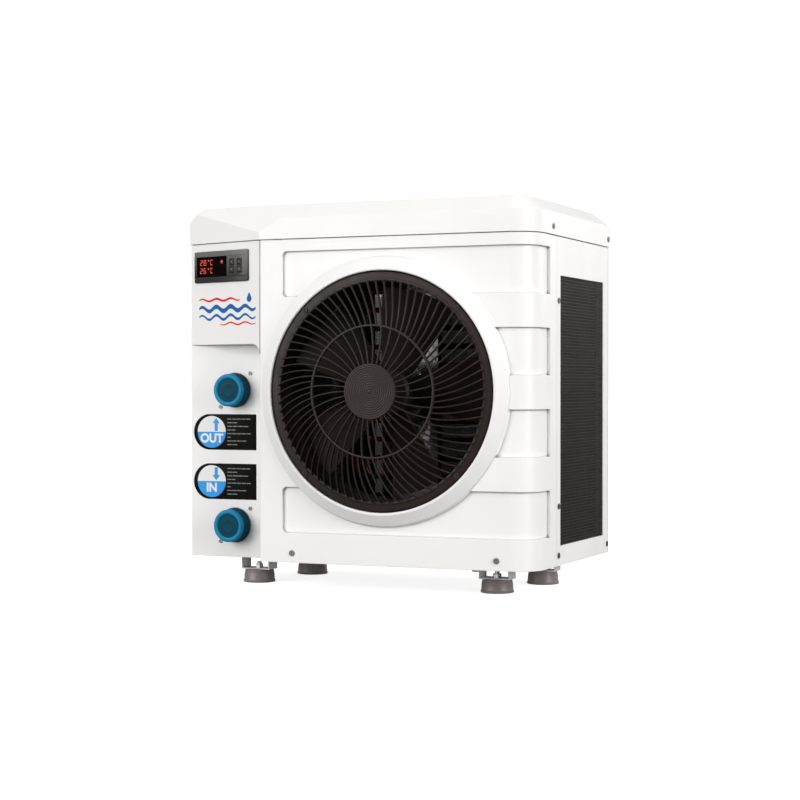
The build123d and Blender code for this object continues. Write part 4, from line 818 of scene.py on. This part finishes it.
class HEATPUMP_OT_fins(bpy.types.Operator):
    """Fine fins of the evaporator, round the corner, in a dark colour that is painted shade"""

    bl_idname = "heatpump.fins"
    bl_label = "Evaporator fins"

    def execute(self, context):
        settings = context.scene.heat_pump_grille
        low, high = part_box("evaporator_fins")
        half = 11.0 * MM
        bend = 40.0 * MM
        row_x = high[0] - half
        row_y = high[1] - half
        centre = Vector((row_x - bend, row_y - bend))
        start_y = low[1]
        end_x = low[0]
        straight = centre.y - start_y
        corner = bend * math.pi / 2
        rear = centre.x - end_x
        total = straight + corner + rear
        count = round(total / settings.fin_pitch)
        ripple = 1.15 * settings.fin_pitch
        bm = bmesh.new()
        for index in range(count + 1):
            along = ripple / 2 + (total - ripple) * index / count
            if along <= straight:
                turn = 0.0
                middle_point = Vector((row_x, start_y + along))
            elif along <= straight + corner:
                turn = (along - straight) / bend
                middle_point = centre + bend * Vector((math.cos(turn), math.sin(turn)))
            else:
                turn = math.pi / 2
                middle_point = Vector((centre.x - (along - straight - corner), row_y))
            self.fin(bm, middle_point, turn, half, ripple, low[2], high[2])
        make_piece("evaporator_fin_pack", bm, ["fin_aluminium"],
                   stands_for=["evaporator_fins"])
        return {"FINISHED"}

    def fin(self, bm, middle_point, turn, half, ripple, low, high):
        """One fin folded to a shallow V, deep enough to close the straight sight through the coil."""
        across = Vector((math.cos(turn), math.sin(turn), 0))
        ahead = Vector((-math.sin(turn), math.cos(turn), 0))
        centre = Vector((*middle_point, 0))
        thickness = 0.15 * MM
        columns = 2
        front = []
        back = []
        for column in range(columns + 1):
            reach = half * (2 * column / columns - 1)
            wave = ripple * (0.5 if column % 2 else -0.5)
            for height in (low, high):
                base = centre + across * reach + UP * height
                front.append(bm.verts.new(base + ahead * (wave + thickness)))
                back.append(bm.verts.new(base + ahead * wave))
        for column in range(columns):
            a = 2 * column
            bm.faces.new((front[a], front[a + 1], front[a + 3], front[a + 2]))
            bm.faces.new((back[a], back[a + 2], back[a + 3], back[a + 1]))
            bm.faces.new((front[a], front[a + 2], back[a + 2], back[a]))
            bm.faces.new((front[a + 1], back[a + 1], back[a + 3], front[a + 3]))
        bm.faces.new((front[0], back[0], back[1], front[1]))
        bm.faces.new((front[-2], front[-1], back[-1], back[-2]))


class HEATPUMP_OT_feet(bpy.types.Operator):
    """Tapered rubber feet with a stepped skirt"""

    bl_idname = "heatpump.feet"
    bl_label = "Rubber feet"

    def execute(self, context):
        low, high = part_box("rubber_feet")
        height = high[2]
        radius = 20.8 * MM
        top = 18.4 * MM
        bore = 3.1 * MM
        pocket = 6.5 * MM
        seat = 6 * MM
        bm = bmesh.new()
        for x, y in self.places(low, high):
            profile = [
                (pocket, seat), (pocket, 0),
                *offsets(radius, 0, (-2.0, 0), (-0.6, 0.3), (0, 1.2), (0, 2.6), (-0.7, 3.2), (-0.9, 4.0)),
                *offsets(top, height, (1.0, -4.6), (0.4, -3.6), (0.6, -2.8), (0.1, -0.8), (-0.8, 0)),
                (bore, height), (bore, seat), (pocket, seat),
            ]
            turn_profile(bm, profile, Matrix.Translation((x, y, 0)), 72)
        make_piece("foot_rubbers", bm, ["grey_rubber"], stands_for=["rubber_feet"])
        return {"FINISHED"}

    def places(self, low, high):
        """Plan places of the feet, from the loose parts of the CAD node."""
        mesh = frame["nodes"]["rubber_feet"].data
        columns = {}
        for vertex in mesh.vertices:
            right = vertex.co.x > (low[0] + high[0]) / 2
            rear = vertex.co.y > (low[1] + high[1]) / 2
            columns.setdefault((right, rear), []).append(vertex.co)
        for points in columns.values():
            xs = [point.x for point in points]
            ys = [point.y for point in points]
            yield (min(xs) + max(xs)) / 2, (min(ys) + max(ys)) / 2


class HEATPUMP_OT_caps(bpy.types.Operator):
    """Ribbed push-on caps of the two water ports"""

    bl_idname = "heatpump.caps"
    bl_label = "Water caps"

    def execute(self, context):
        settings = context.scene.heat_pump_caps
        for node in ("inlet_cap", "outlet_cap"):
            low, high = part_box(node)
            base = (high[0] - low[0]) / 2
            tall = high[1] - low[1]
            place = on_front((low[0] + high[0]) / 2, high[1], (low[2] + high[2]) / 2)
            front = base - 1.7 * MM
            bore = base - 3.0 * MM
            face = base - 6.9 * MM
            bm = bmesh.new()
            steps = settings.grips * 8
            skirt = [
                (0, tall - 2.8 * MM), (bore, tall - 2.8 * MM), (bore, 0),
                *offsets(base, 0, (-0.5, 0), (0, 0.5), (0, 2.4), (-0.5, 3.0), (-0.6, 3.6, True)),
                *offsets(front, tall, (0.2, -6.2, True), (0.1, -5.0)),
            ]
            rim = [
                *offsets(front, tall, (0.1, -5.0), (0.3, -4.4), (0.35, -2.2), (-0.05, -1.0), (-0.8, -0.3)),
                *offsets(front, tall, (-1.8, 0)),
                *offsets(face, tall, (1.4, 0), (0.6, -0.3), (0, -1.1)),
            ]
            sunk = [
                *offsets(face, tall, (0, -1.1), (-0.8, -1.2)),
                (face * 0.55, tall - 1.15 * MM), (face * 0.5, tall - 0.95 * MM),
                (face * 0.45, tall - 1.15 * MM), (0, tall - 1.1 * MM),
            ]
            # the skirt takes the dark face colour as painted shade
            turn_profile(bm, skirt, place, steps, 1, settings.grips, 0.7 * MM)
            turn_profile(bm, rim, place, steps)
            turn_profile(bm, sunk, place, steps, 1)
            make_piece(node + "_ribbed", bm, ["blue_plastic", "cap_face"], node, [node],
                       soft=50.0)
        return {"FINISHED"}


WAVE_HEIGHT = 3.0 * MM
WAVE_LENGTH = 27 * MM
BADGE_INK = 0.25 * MM


class HEATPUMP_OT_labels(bpy.types.Operator):
    """Flow labels beside the ports and the wave badge"""

    bl_idname = "heatpump.labels"
    bl_label = "Labels and badge"

    def execute(self, context):
        inlet_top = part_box("inlet_cap")[1][2]
        outlet_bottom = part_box("outlet_cap")[0][2]
        between = (inlet_top + outlet_bottom) / 2
        mesh = frame["nodes"]["labels"].data
        flat = [vertex.co for vertex in mesh.vertices if vertex.co.y > BAY_Y - 1.0 * MM]
        upper = [point for point in flat if outlet_bottom > point.z > between]
        lower = [point for point in flat if inlet_top < point.z < between]
        self.flow_label("outlet_label", upper, "OUT", 1, ["labels"])
        self.flow_label("inlet_label", lower, "IN", -1, [])
        self.badge()
        return {"FINISHED"}

    def flow_label(self, name, points, word, direction, stands_for):
        """Black label with a round end: a disc with an arrow and a word, and lines of plain bars."""
        x0 = min(point.x for point in points)
        x1 = max(point.x for point in points)
        z0 = min(point.z for point in points)
        z1 = max(point.z for point in points)
        radius = (z1 - z0) / 2
        place = on_front(x0 + radius, BAY_Y, (z0 + z1) / 2)
        width = x1 - x0
        film = 0.3 * MM
        ink = 0.36 * MM
        top = 0.42 * MM
        bm = bmesh.new()
        outline = [
            radius * Vector((math.cos(turn), math.sin(turn)))
            for turn in (math.radians(90 + 6 * step) for step in range(31))
        ]
        outline += [Vector((width - radius, -radius)), Vector((width - radius, radius))]
        plate(bm, place, outline, 0.0, film, 0.1 * MM, 0)
        disc = 20.6 * MM
        centre = Vector((3.2 * MM, 0))
        self.half_disc(bm, place, centre, disc, film, ink, 0, 1)
        self.half_disc(bm, place, centre, disc, film, ink, 180, 2)
        self.arrow(bm, place, centre + Vector((6.6 * MM, 9.6 * MM)), direction, ink, top, 2)
        line_lengths = (0.94, 0.42, 0.86, 0.34, 0.96, 0.16, 0.78, 0.42)
        line_pitch = 4.7 * MM
        line_height = 1.3 * MM
        word_gap = 0.9 * MM
        first_line = radius - 5.6 * MM
        text_left = centre.x + disc + 2.2 * MM
        text_width = width - radius - text_left - 5.5 * MM
        for line, share in enumerate(line_lengths):
            height = first_line - line * line_pitch
            words = max(1, round(share * 5))
            for word_index in range(words):
                start = text_left + text_width * share * word_index / words
                end = text_left + text_width * share * (word_index + 1) / words - word_gap
                bar(bm, place, start, end, height - line_height, height, film, ink, 3)
        inks = ["label_print", "label_white", "label_blue", "label_grey"]
        make_piece(name, bm, inks, stands_for=stands_for, soft=30.0)
        self.word(name + "_word", word, place, centre + Vector((0, -8.6 * MM)), ink, top)

    def half_disc(self, bm, place, centre, radius, low, high, start, finish):
        """Half of the disc, above or below its middle line."""
        outline = [
            centre + radius * Vector((math.cos(turn), math.sin(turn)))
            for turn in (math.radians(start + 5 * step) for step in range(37))
        ]
        plate(bm, place, outline, low, high, 0.0, finish)

    def arrow(self, bm, place, centre, direction, low, high, finish):
        """Straight arrow, up or down."""
        stem = 2.3 * MM
        head = 5.4 * MM
        reach = 8.4 * MM
        neck = 1.6 * MM
        outline = [
            Vector((-stem, -reach)), Vector((stem, -reach)), Vector((stem, neck)), Vector((head, neck)),
            Vector((0, reach)), Vector((-head, neck)), Vector((-stem, neck)),
        ]
        outline = [centre + Vector((point.x, point.y * direction)) for point in outline]
        if direction < 0:
            outline.reverse()
        plate(bm, place, outline, low, high, 0.0, finish)

    def word(self, name, text, place, centre, low, high):
        """Raised word on the disc."""
        curve = bpy.data.curves.new(name + "_text", "FONT")
        curve.body = text
        curve.size = 15.5 * MM
        curve.offset = 0.62 * MM
        curve.extrude = (high - low) / 2
        curve.align_x = "CENTER"
        curve.align_y = "CENTER"
        lettering = bpy.data.objects.new(name + "_text", curve)
        mesh = bpy.data.meshes.new_from_object(lettering)
        bm = bmesh.new()
        bm.from_mesh(mesh)
        shift = Matrix.Translation((centre.x, centre.y, (low + high) / 2))
        bmesh.ops.transform(bm, matrix=place @ shift, verts=bm.verts)
        bpy.data.objects.remove(lettering)
        bpy.data.curves.remove(curve)
        bpy.data.meshes.remove(mesh)
        make_piece(name, bm, ["label_white"])

    def badge(self):
        """Plain water motif: two wide waves, a drop and two fine waves."""
        mesh = frame["nodes"]["labels"].data
        high_points = [vertex.co for vertex in mesh.vertices if vertex.co.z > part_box("outlet_cap")[1][2]]
        across = [point.dot(ACROSS_SLOPE) for point in high_points]
        heights = [point.z for point in high_points]
        width = max(across) - min(across)
        tall = max(heights) - min(heights)
        origin = (ACROSS_SLOPE * (max(across) + min(across)) / 2 + UP * (max(heights) + min(heights)) / 2
                  + OUT_OF_SLOPE * SLOPE_SURFACE)
        place = facing(origin, ACROSS_SLOPE, UP, OUT_OF_SLOPE)
        bm = bmesh.new()
        self.wave(bm, place, -0.49, 0.22, 0.34, 0.5, width, tall, 2.8 * MM, 1)
        self.wave(bm, place, -0.49, 0.49, 0.05, 0.95, width, tall, 6.0 * MM, 0)
        self.wave(bm, place, -0.49, 0.49, -0.22, 0.95, width, tall, 3.6 * MM, 0)
        self.wave(bm, place, -0.12, 0.49, -0.43, 0.5, width, tall, 2.0 * MM, 1)
        self.drop(bm, place, Vector((0.38 * width, 0.34 * tall)), 4.4 * MM, 0)
        make_piece("wave_badge", bm, ["badge_navy", "badge_red"], soft=30.0)

    def wave(self, bm, place, start, end, level, swing, width, tall, thickness, finish):
        """Wavy ribbon that thins towards its ends."""
        steps = 64
        upper = []
        lower = []
        for step in range(steps + 1):
            share = step / steps
            x = width * (start + (end - start) * share)
            y = tall * level + swing * WAVE_HEIGHT * math.sin(2 * math.pi * x / WAVE_LENGTH)
            half = thickness / 2 * math.sin(math.pi * (0.08 + 0.84 * share)) ** 0.5
            upper.append(Vector((x, y + half)))
            lower.append(Vector((x, y - half)))
        for index in range(steps):
            outline = [upper[index + 1], upper[index], lower[index], lower[index + 1]]
            ring_low = [place @ Vector((*point, 0)) for point in outline]
            ring_high = [place @ Vector((*point, BADGE_INK)) for point in outline]
            loft_rings(bm, [ring_low, ring_high], finish)

    def drop(self, bm, place, centre, radius, finish):
        """Drop of water."""
        outline = []
        for step in range(48):
            turn = step * 2 * math.pi / 48
            lean = 1 + 0.75 * max(0.0, math.sin(turn)) ** 6
            narrow = 1 - 0.15 * max(0, math.sin(turn))
            outline.append(centre + radius * Vector((math.cos(turn) * narrow, math.sin(turn) * lean)))
        plate(bm, place, outline, 0.0, BADGE_INK, 0.0, finish)


class HEATPUMP_OT_controller(bpy.types.Operator):
    """Controller bezel, display and keys"""

    bl_idname = "heatpump.controller"
    bl_label = "Controller"

    def execute(self, context):
        settings = context.scene.heat_pump_controller
        left, right = span("controller_bezel", ACROSS_SLOPE)
        low, high = span("controller_bezel", UP)
        surface, front = span("controller_bezel", OUT_OF_SLOPE)
        width = right - left
        tall = high - low
        rise = front - surface
        place = on_slope("controller_bezel", surface)
        keys = self.key_places(place)
        glass = self.glass_span(place)
        self.bezel(place, width, tall, rise, keys, glass)
        self.display(place, rise, glass, settings)
        for index, centre in enumerate(keys):
            self.key(index, place, centre)
        return {"FINISHED"}

    def key_places(self, place):
        """Middles of the four keys on the drawing plane."""
        inverse = place.inverted()
        return [inverse @ middle("key_%d" % number) for number in range(1, 5)]

    def glass_span(self, place):
        """Left and right ends and half height of the display, from the opening in the CAD bezel."""
        inverse = place.inverted()
        points = [inverse @ vertex.co for vertex in frame["nodes"]["controller_bezel"].data.vertices]
        rim = max(abs(point.x) for point in points) - 0.2 * MM
        keys = [point.x for point in self.key_places(place)]
        key_left = min(keys) - 4.6 * MM
        inner = [
            point for point in points
            if point.x < key_left - 0.2 * MM and abs(point.x) < rim - 1.6 * MM
        ]
        xs = [point.x for point in inner]
        ys = [abs(point.y) for point in inner]
        return min(xs), max(xs), min(ys)

    def bezel(self, place, width, tall, rise, keys, glass):
        """Rounded bezel in strips round the display and the keys."""
        bm = bmesh.new()
        x0, x1, half = glass
        step = 0.6 * MM
        edge = 0.8 * MM
        base = rise - 0.9 * MM
        plate(bm, place, rounded_rectangle(width, tall, 2.2 * MM, 6), 0.0, base, 0.2 * MM)
        left = -width / 2 + step
        right = width / 2 - step
        strips = (
            (left, right, half, tall / 2 - step), (left, right, -tall / 2 + step, -half),
            (left, x0, -half - edge, half + edge), (x1, right, -half - edge, half + edge),
        )
        for strip in strips:
            bar(bm, place, *strip, base - 0.3 * MM, rise, 0, edge)
        for centre in keys:
            outline = [point + centre.xy for point in rounded_rectangle(9.6 * MM, 9.0 * MM, 1.6 * MM)]
            plate(bm, place, outline, rise - 0.2 * MM, rise + 0.12 * MM, 0.1 * MM, 1)
        make_piece("controller_front", bm, ["bezel", "black_plastic"],
                   stands_for=["controller_bezel"], soft=35.0)

    def display(self, place, rise, glass, settings):
        """Tinted display film with two lit readings and a lamp."""
        x0, x1, half = glass
        film = rise - 0.65 * MM
        bm = bmesh.new()
        bar(bm, place, x0, x1, -half, half, film - 0.4 * MM, film)
        make_piece("display_film", bm, ["display_film"])
        bm = bmesh.new()
        low = film - 0.1 * MM
        top = film + 0.05 * MM
        row_pitch = 10.4 * MM
        digit_pitch = 6.6 * MM
        unit_start = 19.6 * MM
        for row, reading in enumerate((settings.upper, settings.lower)):
            base = Vector((x0 + 6.5 * MM, 2.2 * MM - row * row_pitch))
            for column, character in enumerate("%02d" % reading):
                self.digit(bm, place, base + Vector((column * digit_pitch, 0)), character, low, top)
            self.digit(bm, place, base + Vector((unit_start, 0)), "C", low, top)
            degree = base + Vector((15.8 * MM, 5.8 * MM))
            ring = [
                degree + 1.1 * MM * Vector((math.cos(turn), math.sin(turn)))
                for turn in (step * math.pi / 6 for step in range(12))
            ]
            plate(bm, place, ring, low, top)
        lamp = Vector((x1 - 9.5 * MM, 6.0 * MM))
        ray = 2.6 * MM
        ray_half = 0.35 * MM
        for turn in range(3):
            angle = turn * math.pi / 3
            reach = ray * Vector((math.cos(angle), math.sin(angle)))
            side = ray_half * Vector((-math.sin(angle), math.cos(angle)))
            outline = [
                lamp + reach + side, lamp - reach + side, lamp - reach - side, lamp + reach - side,
            ]
            plate(bm, place, outline, low, top + turn * 0.004 * MM)
        make_piece("display_digits", bm, ["digits"])

    def digit(self, bm, place, corner, character, low, top):
        """Seven-segment character, 4.6 mm wide and 7 mm tall."""
        segments = {
            "0": "abcdef", "1": "bc", "2": "abged", "3": "abgcd", "4": "fgbc", "5": "afgcd",
            "6": "afgedc", "7": "abc", "8": "abcdefg", "9": "abcdfg", "C": "afed",
        }
        wide = 4.6 * MM
        tall = 7.0 * MM
        thick = 0.8 * MM
        half = tall / 2
        gap = thick / 4
        flat = (thick, wide - thick)
        left = (0, thick)
        right = (wide - thick, wide)
        places = {
            "a": (*flat, tall - thick, tall),
            "b": (*right, half + gap, tall - gap),
            "c": (*right, gap, half - gap),
            "d": (*flat, 0, thick),
            "e": (*left, gap, half - gap),
            "f": (*left, half + gap, tall - gap),
            "g": (*flat, half - thick / 2, half + thick / 2),
        }
        for segment in segments[character]:
            x0, x1, y0, y1 = places[segment]
            bar(bm, place, corner.x + x0, corner.x + x1, corner.y + y0, corner.y + y1, low, top)

    def key(self, index, place, centre):
        """Key cap with its mark, on the key's own body."""
        node = "key_%d" % (index + 1)
        base = span("controller_bezel", OUT_OF_SLOPE)[0]
        low, high = span(node, OUT_OF_SLOPE)
        left, right = span(node, ACROSS_SLOPE)
        size = right - left
        bm = bmesh.new()
        outline = [point + centre.xy for point in rounded_rectangle(size, size, 1.2 * MM)]
        plate(bm, place, outline, low - base + 5.0 * MM, high - base, 0.5 * MM)
        top = high - base
        marks = (
            ((0, 2.2), (-2.0, -1.4), (2.0, -1.4)),
            ((0, -2.2), (2.0, 1.4), (-2.0, 1.4)),
            ((-1.8, 1.8), (-1.8, -1.8), (1.8, -1.8), (1.8, 1.8)),
            ((0, 2.1), (-2.1, 0), (0, -2.1), (2.1, 0)),
        )
        outline = [centre.xy + Vector(point) * MM for point in marks[index]]
        plate(bm, place, outline, top - 0.1 * MM, top + 0.02 * MM, 0.0, 1)
        make_piece(node + "_cap", bm, ["black_plastic", "key_mark"], node, [node])


class HEATPUMP_OT_stage(bpy.types.Operator):
    """Camera, pale floor and soft studio light"""

    bl_idname = "heatpump.stage"
    bl_label = "Stage"

    def execute(self, context):
        settings = context.scene.heat_pump_stage
        scene = context.scene
        self.camera(scene, settings)
        self.floor()
        self.surroundings(scene, settings)
        middle_height = 0.25
        self.area_light("right_light", (2.5, -0.95, 0.85), middle_height, (1.1, 1.7), settings.key)
        self.area_light("front_light", (-1.5, -2.45, 0.9), middle_height, (2.0, 1.8), settings.front)
        self.area_light("top_light", (0.1, -0.1, 2.6), 0.3, (1.8, 1.8), settings.top)
        self.area_light("back_light", (1.6, 2.8, 1.3), middle_height, (1.6, 1.6), settings.back)
        return {"FINISHED"}

    def camera(self, scene, settings):
        """Camera at the front right, level with the middle of the unit."""
        data = bpy.data.cameras.new("camera")
        data.lens = settings.lens
        data.sensor_width = 36.0
        data.clip_start = 0.05
        data.clip_end = 60.0
        camera = bpy.data.objects.new("camera", data)
        scene.collection.objects.link(camera)
        level = math.cos(settings.dip)
        look = Vector((
            -math.sin(settings.turn) * level, math.cos(settings.turn) * level, -math.sin(settings.dip),
        ))
        camera.location = settings.camera
        camera.rotation_euler = look.to_track_quat("-Z", "Y").to_euler()
        scene.camera = camera

    def floor(self):
        """Wide pale floor."""
        bm = bmesh.new()
        half = 30.0
        corners = ((-half, -half, 0), (half, -half, 0), (half, half, 0), (-half, half, 0))
        bm.faces.new([bm.verts.new(corner) for corner in corners])
        mesh = bpy.data.meshes.new("floor")
        bm.to_mesh(mesh)
        bm.free()
        material, tree, shader = start_material("floor_paper")
        tone = shade_between(tree, noise(tree, 2.0), (0.93, 0.93, 0.93), (0.95, 0.95, 0.95))
        tree.links.new(tone, shader.inputs["Base Color"])
        shader.inputs["Roughness"].default_value = 0.9
        shader.inputs["Specular IOR Level"].default_value = 0.0
        shader.inputs["Emission Color"].default_value = (1, 1, 1, 1)
        shader.inputs["Emission Strength"].default_value = 0.78
        mesh.materials.append(material)
        floor = bpy.data.objects.new("floor", mesh)
        bpy.context.scene.collection.objects.link(floor)
        floor.visible_diffuse = False
        floor.visible_glossy = False

    def surroundings(self, scene, settings):
        """White surroundings, which the camera sees as pure white."""
        world = bpy.data.worlds.new("surroundings")
        scene.world = world
        world.use_nodes = True
        tree = world.node_tree
        tree.nodes.clear()
        output = tree.nodes.new("ShaderNodeOutputWorld")
        mix = tree.nodes.new("ShaderNodeMixShader")
        path = tree.nodes.new("ShaderNodeLightPath")
        lighting = tree.nodes.new("ShaderNodeBackground")
        height = along_axis(tree, "Z", -0.25, 0.35, "Generated")
        strength = map_range(tree, height, 0.0, 1.0, settings.ground, settings.sky)
        tree.links.new(strength, lighting.inputs["Strength"])
        lighting.inputs["Color"].default_value = (1.0, 0.99, 0.98, 1)
        seen = tree.nodes.new("ShaderNodeBackground")
        seen.inputs["Color"].default_value = (1, 1, 1, 1)
        seen.inputs["Strength"].default_value = 1.05
        tree.links.new(path.outputs["Is Camera Ray"], mix.inputs["Fac"])
        tree.links.new(lighting.outputs["Background"], mix.inputs[1])
        tree.links.new(seen.outputs["Background"], mix.inputs[2])
        tree.links.new(mix.outputs["Shader"], output.inputs["Surface"])
        scene.view_settings.view_transform = "Standard"

    def area_light(self, name, place, target_height, size, watts):
        """Soft light of a width and a height, aimed at a point above the origin."""
        data = bpy.data.lights.new(name, "AREA")
        data.shape = "RECTANGLE"
        data.size, data.size_y = size
        data.energy = watts
        light = bpy.data.objects.new(name, data)
        bpy.context.scene.collection.objects.link(light)
        light.location = place
        aim = Vector((0, 0, target_height)) - Vector(place)
        light.rotation_euler = aim.to_track_quat("-Z", "Y").to_euler()


STEPS = (
    HEATPUMP_OT_finishes,
    HEATPUMP_OT_guard,
    HEATPUMP_OT_grilles,
    HEATPUMP_OT_fins,
    HEATPUMP_OT_feet,
    HEATPUMP_OT_caps,
    HEATPUMP_OT_labels,
    HEATPUMP_OT_controller,
    HEATPUMP_OT_stage,
)


class HEATPUMP_PT_panel(bpy.types.Panel):
    """Lists the pieces and their settings"""

    bl_idname = "HEATPUMP_PT_panel"
    bl_label = "Heat pump"
    bl_space_type = "VIEW_3D"
    bl_region_type = "UI"
    bl_category = "Heat pump"

    def draw(self, context):
        for step in STEPS:
            self.layout.operator(step.bl_idname)
        for name, settings in SETTINGS.items():
            group = getattr(context.scene, name)
            box = self.layout.box()
            for value in settings.__annotations__:
                box.prop(group, value)


def register():
    """Registers the settings, the operators and the panel."""
    for name, settings in SETTINGS.items():
        bpy.utils.register_class(settings)
        setattr(bpy.types.Scene, name, PointerProperty(type=settings))
    for step in STEPS:
        bpy.utils.register_class(step)
    bpy.utils.register_class(HEATPUMP_PT_panel)


def unregister():
    """Takes everything away again."""
    bpy.utils.unregister_class(HEATPUMP_PT_panel)
    for step in reversed(STEPS):
        bpy.utils.unregister_class(step)
    for name, settings in SETTINGS.items():
        delattr(bpy.types.Scene, name)
        bpy.utils.unregister_class(settings)


def main():
    """Builds every piece in order."""
    register()
    for step in STEPS:
        group, name = step.bl_idname.split(".")
        getattr(getattr(bpy.ops, group), name)()


if __name__ == "__main__":
    main()
